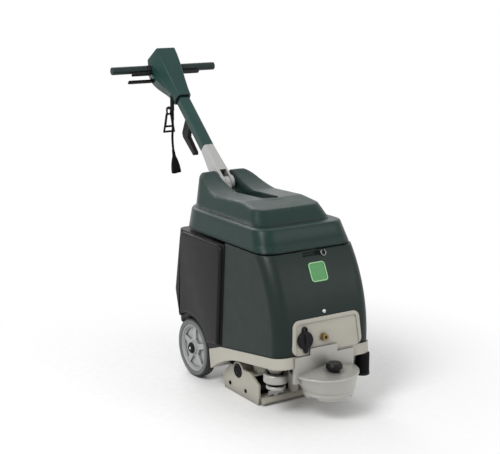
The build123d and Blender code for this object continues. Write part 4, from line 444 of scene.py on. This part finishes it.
# Screw head: shares of its radius and of its rise, from the sunk edge to the rim of the recess
SCREW_SIDES = 24
SCREW_DOME = ((1.0, -0.3), (1.0, 0.2), (0.86, 0.62), (0.6, 0.9), (0.3, 1.0))
SCREW_RISE = 0.45
RECESS_R = 0.34
RECESS_ARM = 0.45
RECESS_ARM_AT = 0.35
RECESS_WALL_AT = 0.95
RECESS_PIT_AT = 0.3


def screw(name, at, normal, radius, body):
    """Dome-headed screw with a cross recess, half sunk into what carries it."""
    place = facing(at, normal)
    rise = SCREW_RISE * radius
    work = bmesh.new()

    def corner(span, angle, height):
        return work.verts.new(place @ Vector((span * math.cos(angle), span * math.sin(angle), height)))

    rings = []
    for share, lift in SCREW_DOME:
        rings.append([corner(share * radius, angle, lift * rise) for angle in angles(SCREW_SIDES)])
    skin(work, rings)
    work.faces.new(rings[0])
    recess = []
    for angle in angles(SCREW_SIDES):
        in_arm = min(abs(math.cos(angle)), abs(math.sin(angle))) < RECESS_ARM
        level = RECESS_ARM_AT if in_arm else RECESS_WALL_AT
        recess.append(corner(RECESS_R * radius, angle, level * rise))
    pit = corner(0.0, 0.0, RECESS_PIT_AT * rise)
    for step in range(SCREW_SIDES):
        after = (step + 1) % SCREW_SIDES
        work.faces.new((rings[-1][step], rings[-1][after], recess[after], recess[step]))
        work.faces.new((recess[step], recess[after], pit))
    return piece(name, work, body, "steel", smooth=False)


# Supply cord: the route's points are those of part.py's tube
GLAND = Vector((-0.026, AXLE_Y + 0.3955, 0.8677))
CORD_POINTS = [
    GLAND,
    Vector((GLAND.x + 0.0025, GLAND.y - 0.0005, 0.814)),
    Vector((GLAND.x - 0.0030, GLAND.y + 0.0005, 0.757)),
    Vector((GLAND.x + 0.0050, GLAND.y, 0.700)),
]
CORD_D = 0.0085
line = bpy.data.curves.new("supply_cord", "CURVE")
line.dimensions = "3D"
line.bevel_depth = CORD_D / 2
line.bevel_resolution = 6
line.resolution_u = 24
line.use_fill_caps = True
spline = line.splines.new("NURBS")
spline.points.add(len(CORD_POINTS) - 1)
for knot, point in zip(spline.points, CORD_POINTS):
    knot.co = (*point, 1.0)
spline.order_u = 3
spline.use_endpoint_u = True
line.materials.append(FINISHES["black_rubber"])
supply_cord = bpy.data.objects.new("supply_cord", line)
bpy.context.scene.collection.objects.link(supply_cord)
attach(supply_cord, "handle")
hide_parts("power_cord")

# Strain reliefs where the lead leaves the gland and where it enters the plug
BOOT_SINK = 0.004
BOOT_LIP = 0.001
BOOT_BITE = 0.0002
GROOVE_DEPTH = 0.0008
BOOT_SIDES = 24


def grooved_boot(name, place, length, radii, grooves):
    """Tapered rubber sleeve with grooves round it, along local Z from just inside what it leaves."""
    wide, narrow = radii
    profile = [(0.0, -BOOT_SINK), (wide, -BOOT_SINK)]
    pitch = length / grooves
    for groove in range(grooves):
        radius = wide + (narrow - wide) * groove / grooves
        start = pitch * groove
        profile += [(radius, start + 0.1 * pitch), (radius, start + 0.6 * pitch)]
        profile += [(radius - GROOVE_DEPTH, start + 0.7 * pitch), (radius - GROOVE_DEPTH, start + pitch)]
    profile += [(narrow, length), (CORD_D / 2 - BOOT_BITE, length + BOOT_LIP), (0.0, length + BOOT_LIP)]
    return lathe(name, profile, place, "handle", "black_rubber", BOOT_SIDES)


grooved_boot(
    "cord_boot", facing(GLAND, CORD_POINTS[1] - GLAND), length=0.034, radii=(0.0064, 0.0049), grooves=5,
)
plug_boot = grooved_boot(
    "plug_boot", facing(CORD_POINTS[-1], CORD_POINTS[-2] - CORD_POINTS[-1]),
    length=0.024, radii=(0.0068, 0.0050), grooves=4,
)

# Bright screw on the tank above the front panel
TANK_SCREW_X = -0.0036
TANK_SCREW_Z = 0.3386
TANK_SCREW_R = 0.0062
at, normal = surface_point("tank_body", (TANK_SCREW_X, -1.0, TANK_SCREW_Z), (0, 1, 0))
screw("tank_screw", at, normal, TANK_SCREW_R, "chassis")

# Pale border round the badge, whose field stays blank
BADGE_AT = Vector((0.0, AXLE_Y - 0.4835, 0.455))
BADGE_LEAN = math.radians(26.5)
BADGE_OUT = Vector((0.0, -math.cos(BADGE_LEAN), math.sin(BADGE_LEAN)))
band_ring(
    "badge_border", facing(BADGE_AT, BADGE_OUT), "chassis", "badge_border",
    half_w=0.0305, half_h=0.0305, corner=0.0105, wide=0.0028, low=0.0022, high=0.0036,
)

# Dark seal where the handle's head takes the column
COLUMN_HALF_W = 0.021
COLUMN_HALF_D = 0.020
HEAD_SEAL_OUT = 0.0025
HEAD_SEAL_ALONG = 0.386
handle_place = Matrix((X_AXIS, BEHIND, ALONG)).transposed().to_4x4()
handle_place.translation = PIVOT + ALONG * HEAD_SEAL_ALONG
band_ring(
    "head_seal", handle_place, "handle", "black_rubber",
    half_w=COLUMN_HALF_W + HEAD_SEAL_OUT, half_h=COLUMN_HALF_D + HEAD_SEAL_OUT,
    corner=0.0115, wide=0.0027, low=0.0, high=0.0058,
)

# Bezel round the two rocker switches on the end of the handle's head
switch_low, switch_high = [Vector(corner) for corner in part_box("left_rocker")]
switch_mid = (switch_low + switch_high) / 2
switch_mid.x = 0.0
above_switches = switch_mid + ALONG * 0.1
at, normal = surface_point("head_front_shell", above_switches, -ALONG)
band_ring(
    "switch_bezel", facing(at, normal), "handle", "black_plastic",
    half_w=0.0325, half_h=0.0118, corner=0.004, wide=0.0028, low=-0.001, high=0.0016,
)

# Roller shaft plugs and the brush motor's end cap, in the cleaning head's left plate
PLATE_FACE_X = -0.140
OUT_LEFT = Vector((-1.0, 0.0, 0.0))
SHAFT_PLUG_SIDES = 28
SHAFT_PLUG = [
    (0.0, 0.0030), (0.0030, 0.0030), (0.0040, 0.0020), (0.0062, 0.0020), (0.0068, 0.0010), (0.0068, -0.0010),
    (0.0, -0.0010),
]
for roller, offset in ROLLERS:
    place = facing(Vector((PLATE_FACE_X, AXLE_Y + offset, ROLLER_Z)), OUT_LEFT)
    lathe(f"{roller}_shaft_plug", SHAFT_PLUG, place, "chassis", "black_rubber", SHAFT_PLUG_SIDES)
MOTOR_CAP_AT = Vector((PLATE_FACE_X, AXLE_Y - 0.236, 0.082))
MOTOR_CAP = [
    (0.0, -0.0025), (0.0055, -0.0025), (0.0062, 0.0020), (0.0105, 0.0026), (0.0112, -0.0015),
    (0.0178, -0.0015), (0.0186, 0.0030), (0.0215, 0.0030), (0.0234, 0.0014), (0.0234, -0.0090),
    (0.0, -0.0090),
]
lathe("motor_end_cap", MOTOR_CAP, facing(MOTOR_CAP_AT, OUT_LEFT), "chassis", "black_plastic")

# Each corner bumper wheel: a black ring in its dish as painted shade of the dish, a dark waist and a smaller
# lower flange
BUMPER_X = 0.137
BUMPER_Y = AXLE_Y - 0.456
BUMPER_DISH_SHADE = [
    (0.0158, 0.1302), (0.0158, 0.1320), (0.0180, 0.1334), (0.0255, 0.1334), (0.0276, 0.1320),
    (0.0276, 0.1302), (0.0158, 0.1302),
]
BUMPER_WAIST = [(0.0, 0.1030), (0.0265, 0.1030), (0.0250, 0.1075), (0.0265, 0.1125), (0.0, 0.1125)]
BUMPER_FOOT = [
    (0.0, 0.0855), (0.0080, 0.0855), (0.0090, 0.0890), (0.0260, 0.0895), (0.0295, 0.0915),
    (0.0310, 0.0950), (0.0302, 0.1000), (0.0280, 0.1032), (0.0, 0.1032),
]
for side, sign in SIDES:
    place = Matrix.Translation((sign * BUMPER_X, BUMPER_Y, 0.0))
    # Black ring laid in the dish: painted shade
    lathe(f"{side}_bumper_dish_shade", BUMPER_DISH_SHADE, place, f"{side}_bumper_wheel", "black_rubber")
    lathe(f"{side}_bumper_waist", BUMPER_WAIST, place, f"{side}_bumper_wheel", "black_rubber")
    lathe(f"{side}_bumper_foot", BUMPER_FOOT, place, f"{side}_bumper_wheel", "cool_grey")

# Wheel fixing: a raised ring and a screw on each hub cap
HUB_FACE_X = 0.187
HUB_SCREW_R = 0.0052
HUB_RING = [(0.0100, -0.0005), (0.0104, 0.0007), (0.0124, 0.0007), (0.0128, -0.0005), (0.0100, -0.0005)]
for side, sign in SIDES:
    hub_face = Vector((sign * HUB_FACE_X, AXLE_Y, WHEEL_R))
    outward = (sign, 0, 0)
    lathe(f"{side}_hub_ring", HUB_RING, facing(hub_face, outward), f"{side}_wheel", "black_plastic")
    screw(f"{side}_hub_screw", hub_face, outward, HUB_SCREW_R, f"{side}_wheel")

# Screws of the belt cover, by offset from the axle and height, and of the rear housing, by X and height
BELT_SCREW_R = 0.0042
BELT_SCREWS = ((-0.178, ROLLER_Z), (-0.294, ROLLER_Z), (-0.236, 0.090))
HOUSING_SCREW_R = 0.0055
HOUSING_SCREWS = ((-0.118, 0.465), (0.118, 0.465), (-0.118, 0.262), (0.118, 0.262))
for number, (offset, height) in enumerate(BELT_SCREWS):
    at, normal = surface_point("belt_cover", (1.0, AXLE_Y + offset, height), (-1, 0, 0))
    screw(f"belt_cover_screw_{number}", at, normal, BELT_SCREW_R, "chassis")
for number, (x, height) in enumerate(HOUSING_SCREWS):
    at, normal = surface_point("rear_housing", (x, 1.0, height), (0, -1, 0))
    screw(f"rear_housing_screw_{number}", at, normal, HOUSING_SCREW_R, "chassis")


# Bulged side covers of the rear housing, and a dark strip along its joint with the tank, painted shade of
# the gap between them


def rounded_corners(corners, steps=6):
    """Closed outline with each corner (y, z, radius) rounded; radius 0 keeps the point."""
    points = []
    for index, (y, z, radius) in enumerate(corners):
        at = Vector((y, z))
        back = (Vector(corners[index - 1][:2]) - at).normalized()
        ahead = (Vector(corners[(index + 1) % len(corners)][:2]) - at).normalized()
        if radius <= 0:
            points.append(at)
            continue
        half = back.angle(ahead) / 2
        centre = at + (back + ahead).normalized() * (radius / math.sin(half))
        start = at + back * (radius / math.tan(half)) - centre
        end = at + ahead * (radius / math.tan(half)) - centre
        for step in range(steps + 1):
            points.append(centre + start.slerp(end, step / steps).normalized() * radius)
    return points


# The wheel arch in the covers' lower edge, then their outline: y from the axle, z, corner radius
ARCH_R = WHEEL_R + 0.0215
ARCH_FROM = math.radians(157)
ARCH_TO = math.radians(53)
ARCH_STEPS = 26
arch = []
for step in range(ARCH_STEPS + 1):
    angle = ARCH_FROM + (ARCH_TO - ARCH_FROM) * step / ARCH_STEPS
    arch.append((ARCH_R * math.cos(angle), WHEEL_R + ARCH_R * math.sin(angle), 0.0))
COVER_CORNERS = [
    (-0.2065, 0.5045, 0.022), (-0.1835, 0.1625, 0.014), *arch,
    (0.1000, 0.2920, 0.030), (0.0610, 0.5045, 0.026),
]
COVER_OUTLINE = rounded_corners(COVER_CORNERS)

# Rolled edge of the covers: how far in and how far out, from a skirt sunk in the housing
HOUSING_SIDE_X = 0.179
COVER_SUNK = 0.012
COVER_PROUD = 0.010
COVER_EDGE = 0.0095
ROLL_STEPS = 6
COVER_ROLL = [(0.0, -COVER_SUNK)]
for step in range(ROLL_STEPS + 1):
    angle = step * math.pi / (2 * ROLL_STEPS)
    COVER_ROLL.append((COVER_EDGE * (1 - math.cos(angle)), COVER_PROUD * math.sin(angle)))


def pod_cover(side, sign):
    """Closed panel on the housing's side, rolled over at its edge."""
    work = bmesh.new()
    count = len(COVER_OUTLINE)
    inward = []
    for step in range(count):
        run = (COVER_OUTLINE[(step + 1) % count] - COVER_OUTLINE[step - 1]).normalized()
        inward.append(Vector((-run.y, run.x)))
    rings = []
    for inset, rise in COVER_ROLL:
        spots = [point + way * inset for point, way in zip(COVER_OUTLINE, inward)]
        rings.append([
            work.verts.new((sign * (HOUSING_SIDE_X + rise), AXLE_Y + spot.x, spot.y)) for spot in spots
        ])
    skin(work, rings)
    work.faces.new(rings[0])
    work.faces.new(rings[-1])
    piece(f"{side}_pod_cover", work, "chassis", "charcoal")


# Painted shade strip between its two ends, given as y and z; its section as shares of its half width, and
# lift
SHADE_STRIP_TOP = Vector((AXLE_Y - 0.2172, 0.5060))
SHADE_STRIP_LOW = Vector((AXLE_Y - 0.1930, 0.1650))
SHADE_STRIP_HALF_W = 0.0065
SHADE_STRIP_SECTION = (
    (-1.0, -0.004), (-1.0, 0.0004), (-0.6, 0.0016), (0.6, 0.0016), (1.0, 0.0004), (1.0, -0.004),
)
strip_run = (SHADE_STRIP_LOW - SHADE_STRIP_TOP).normalized()
SHADE_STRIP_ACROSS = Vector((abs(strip_run.y), abs(strip_run.x)))


def joint_shade_strip(side, sign):
    """Straight dark strip with chamfered edges, standing in for the shadow in the joint."""
    work = bmesh.new()
    rings = []
    for end in (SHADE_STRIP_TOP, SHADE_STRIP_LOW):
        ring = []
        for share, lift in SHADE_STRIP_SECTION:
            spot = end + SHADE_STRIP_ACROSS * (share * SHADE_STRIP_HALF_W)
            ring.append(work.verts.new((sign * (HOUSING_SIDE_X + lift), spot.x, spot.y)))
        rings.append(ring)
    skin(work, rings)
    work.faces.new(rings[0])
    work.faces.new(rings[1])
    piece(f"{side}_joint_shade_strip", work, "chassis", "black_rubber", smooth=False)


for side, sign in SIDES:
    pod_cover(side, sign)
    joint_shade_strip(side, sign)

# Cooling louvres on the back of the rear housing: section as (up, out), ends as shares of width and height
LOUVRES = 7
LOUVRE_LOWEST = 0.335
LOUVRE_PITCH = 0.0145
LOUVRE_HALF_W = 0.078
LOUVRE_SECTION = (
    (-0.0045, -0.0015), (-0.0045, 0.0030), (-0.0034, 0.0040), (-0.0016, 0.0040), (0.0052, -0.0015),
)
LOUVRE_ENDS = ((-1.0, 0.2), (-0.985, 0.75), (-0.95, 1.0), (0.95, 1.0), (0.985, 0.75), (1.0, 0.2))
for number in range(LOUVRES):
    height = LOUVRE_LOWEST + LOUVRE_PITCH * number
    at, normal = surface_point("rear_housing", (0.0, 1.0, height), (0, -1, 0))
    rise = normal.cross(X_AXIS)
    rise = rise if rise.z > 0 else -rise
    work = bmesh.new()
    rings = []
    for share, lift in LOUVRE_ENDS:
        spot = at + X_AXIS * (share * LOUVRE_HALF_W)
        rings.append([
            work.verts.new(spot + rise * up + normal * (out * lift if out > 0 else out))
            for up, out in LOUVRE_SECTION
        ])
    skin(work, rings)
    work.faces.new(rings[0])
    work.faces.new(rings[-1])
    piece(f"rear_louvre_{number}", work, "chassis", "charcoal", smooth=False)

# Brushes: spiral rows of fine tufts on a sleeve, in place of the coarse CAD strands
CORE_R = 0.015
SLEEVE_R = 0.0168
SLEEVE_SIDES = 32
BRUSH_HALF = 0.123
TUFT_ROWS = 44
TUFTS_ROUND = 14
SPIRAL = 2.4
STRANDS = 4
STRAND_R = 0.0004
STRAND_TAPER = 0.6
STRAND_CORNERS = (0.0, 2.1, 4.2)
ROOT_SINK = 0.0006
TIP_R = 0.0252
ROOT_SPREAD = 0.05
TIP_SPREAD = 0.07
ROOT_SHIFT = 0.0012
TIP_SHIFT = 2.2
TIP_UNEVEN = 0.0009
BRISTLE_SEED = 7
SLEEVE_SECTION = (
    (-BRUSH_HALF, CORE_R), (-BRUSH_HALF, SLEEVE_R), (BRUSH_HALF, SLEEVE_R), (BRUSH_HALF, CORE_R),
)
draw = random.Random(BRISTLE_SEED)


def strand(work, middle, x, angle):
    """One bristle: a slim three-sided spike from the sleeve, a little out of line with its neighbours."""
    lean = angle + draw.uniform(-ROOT_SPREAD, ROOT_SPREAD)
    tip_angle = lean + draw.uniform(-TIP_SPREAD, TIP_SPREAD)
    shift = draw.uniform(-ROOT_SHIFT, ROOT_SHIFT)
    tip_x = max(-BRUSH_HALF, min(BRUSH_HALF, x + shift * TIP_SHIFT))
    reach = TIP_R - draw.uniform(0.0, TIP_UNEVEN)
    out = Vector((0.0, math.cos(lean), math.sin(lean)))
    around = Vector((0.0, -math.sin(lean), math.cos(lean)))
    root = middle + Vector((x + shift, 0, 0)) + out * (SLEEVE_R - ROOT_SINK)
    tip = middle + Vector((tip_x, reach * math.cos(tip_angle), reach * math.sin(tip_angle)))
    ends = []
    for end, radius in ((root, STRAND_R), (tip, STRAND_TAPER * STRAND_R)):
        ends.append([
            work.verts.new(end + radius * (X_AXIS * math.cos(a) + around * math.sin(a)))
            for a in STRAND_CORNERS
        ])
    skin(work, ends)
    work.faces.new(ends[0])
    work.faces.new(ends[1])


for brush, offset in ROLLERS:
    middle = Vector((0.0, AXLE_Y + offset, ROLLER_Z))
    work = bmesh.new()
    rings = []
    for x, radius in SLEEVE_SECTION:
        rings.append([
            work.verts.new(middle + Vector((x, radius * math.cos(a), radius * math.sin(a))))
            for a in angles(SLEEVE_SIDES)
        ])
    skin(work, rings, closed=True)
    for row in range(TUFT_ROWS):
        x = BRUSH_HALF * (2 * (row + 0.5) / TUFT_ROWS - 1)
        for tuft in range(TUFTS_ROUND):
            angle = 2 * math.pi * (tuft + 0.5 * (row % 2)) / TUFTS_ROUND + SPIRAL * row / TUFT_ROWS
            for _ in range(STRANDS):
                strand(work, middle, x, angle)
    tufts = piece(f"{brush}_brush_tufts", work, f"{brush}_brush", "bristle")
    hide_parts(f"{brush}_bristles")

# Stage: a pale floor that turns white away from the object, for the rays that look at it
FLOOR_HALF = 8.0
FLOOR_ROUGH = 0.9
WHITE_FROM = 0.5
WHITE_TO = 1.1
FLOOR_CORNERS = ((-1, -1), (1, -1), (1, 1), (-1, 1))
floor_mesh = bpy.data.meshes.new("floor")
floor_mesh.from_pydata([(x * FLOOR_HALF, y * FLOOR_HALF, 0.0) for x, y in FLOOR_CORNERS], [], [(0, 1, 2, 3)])
floor = bpy.data.objects.new("floor", floor_mesh)
bpy.context.scene.collection.objects.link(floor)
made = Shader("pale_floor")
made.surface.inputs["Roughness"].default_value = FLOOR_ROUGH
drift = made.remap(made.noise(FLOOR_SCALE), NOISE_LOW, NOISE_HIGH, 0.0, 1.0)
made.link(made.mix(drift, FLOOR_DULL, FLOOR_PALE), made.surface.inputs["Base Color"])
white = made.add("ShaderNodeEmission")
reach = made.add("ShaderNodeVectorMath")
reach.operation = "LENGTH"
made.link(made.place, reach.inputs[0])
far = made.remap(reach.outputs["Value"], WHITE_FROM, WHITE_TO, 0.0, 1.0)
seen = made.times(far, looking_rays(made.tree))
blend = made.add("ShaderNodeMixShader")
made.link(seen, blend.inputs["Fac"])
made.link(made.surface.outputs["BSDF"], blend.inputs[1])
made.link(white.outputs["Emission"], blend.inputs[2])
made.link(blend.outputs["Shader"], made.tree.nodes["Material Output"].inputs["Surface"])
floor_mesh.materials.append(made.material)

# Surroundings: white to look at, softer as a light
AMBIENT = 0.5
world = bpy.data.worlds.new("studio")
bpy.context.scene.world = world
world.use_nodes = True
sky = world.node_tree
backdrop = sky.nodes["Background"]
backdrop.inputs["Color"].default_value = (1.0, 1.0, 1.0, 1.0)
level = sky.nodes.new("ShaderNodeMapRange")
level.inputs["To Min"].default_value = AMBIENT
level.inputs["To Max"].default_value = 1.0
sky.links.new(looking_rays(sky), level.inputs["Value"])
sky.links.new(level.outputs["Result"], backdrop.inputs["Strength"])

LIT_POINT = Vector((0.0, 0.0, 0.45))


def soft_light(name, at, size, power):
    """Round area light that faces the middle of the object."""
    lamp = bpy.data.lights.new(name, "AREA")
    lamp.shape = "DISK"
    lamp.size = size
    lamp.energy = power
    made_lamp = bpy.data.objects.new(name, lamp)
    bpy.context.scene.collection.objects.link(made_lamp)
    made_lamp.location = at
    made_lamp.rotation_mode = "QUATERNION"
    made_lamp.rotation_quaternion = (LIT_POINT - Vector(at)).to_track_quat("-Z", "Y")


soft_light("key", (-2.5, -1.2, 2.9), size=1.8, power=78.0)
soft_light("fill", (1.6, -3.0, 1.8), size=2.0, power=16.0)
soft_light("back", (0.6, 2.8, 2.6), size=1.8, power=40.0)

# The photograph's camera
view = bpy.data.cameras.new("photo_camera")
view.sensor_width = SENSOR_W
view.lens = FOCAL_PX / PHOTO_W * SENSOR_W
camera = bpy.data.objects.new("photo_camera", view)
bpy.context.scene.collection.objects.link(camera)
sight_line = Vector((
    math.sin(CAMERA_TURN) * math.cos(CAMERA_TILT), math.cos(CAMERA_TURN) * math.cos(CAMERA_TILT),
    -math.sin(CAMERA_TILT),
))
camera.location = CAMERA_AT
camera.rotation_mode = "QUATERNION"
camera.rotation_quaternion = sight_line.to_track_quat("-Z", "Y")
bpy.context.scene.camera = camera
bpy.context.scene.view_settings.view_transform = "Standard"
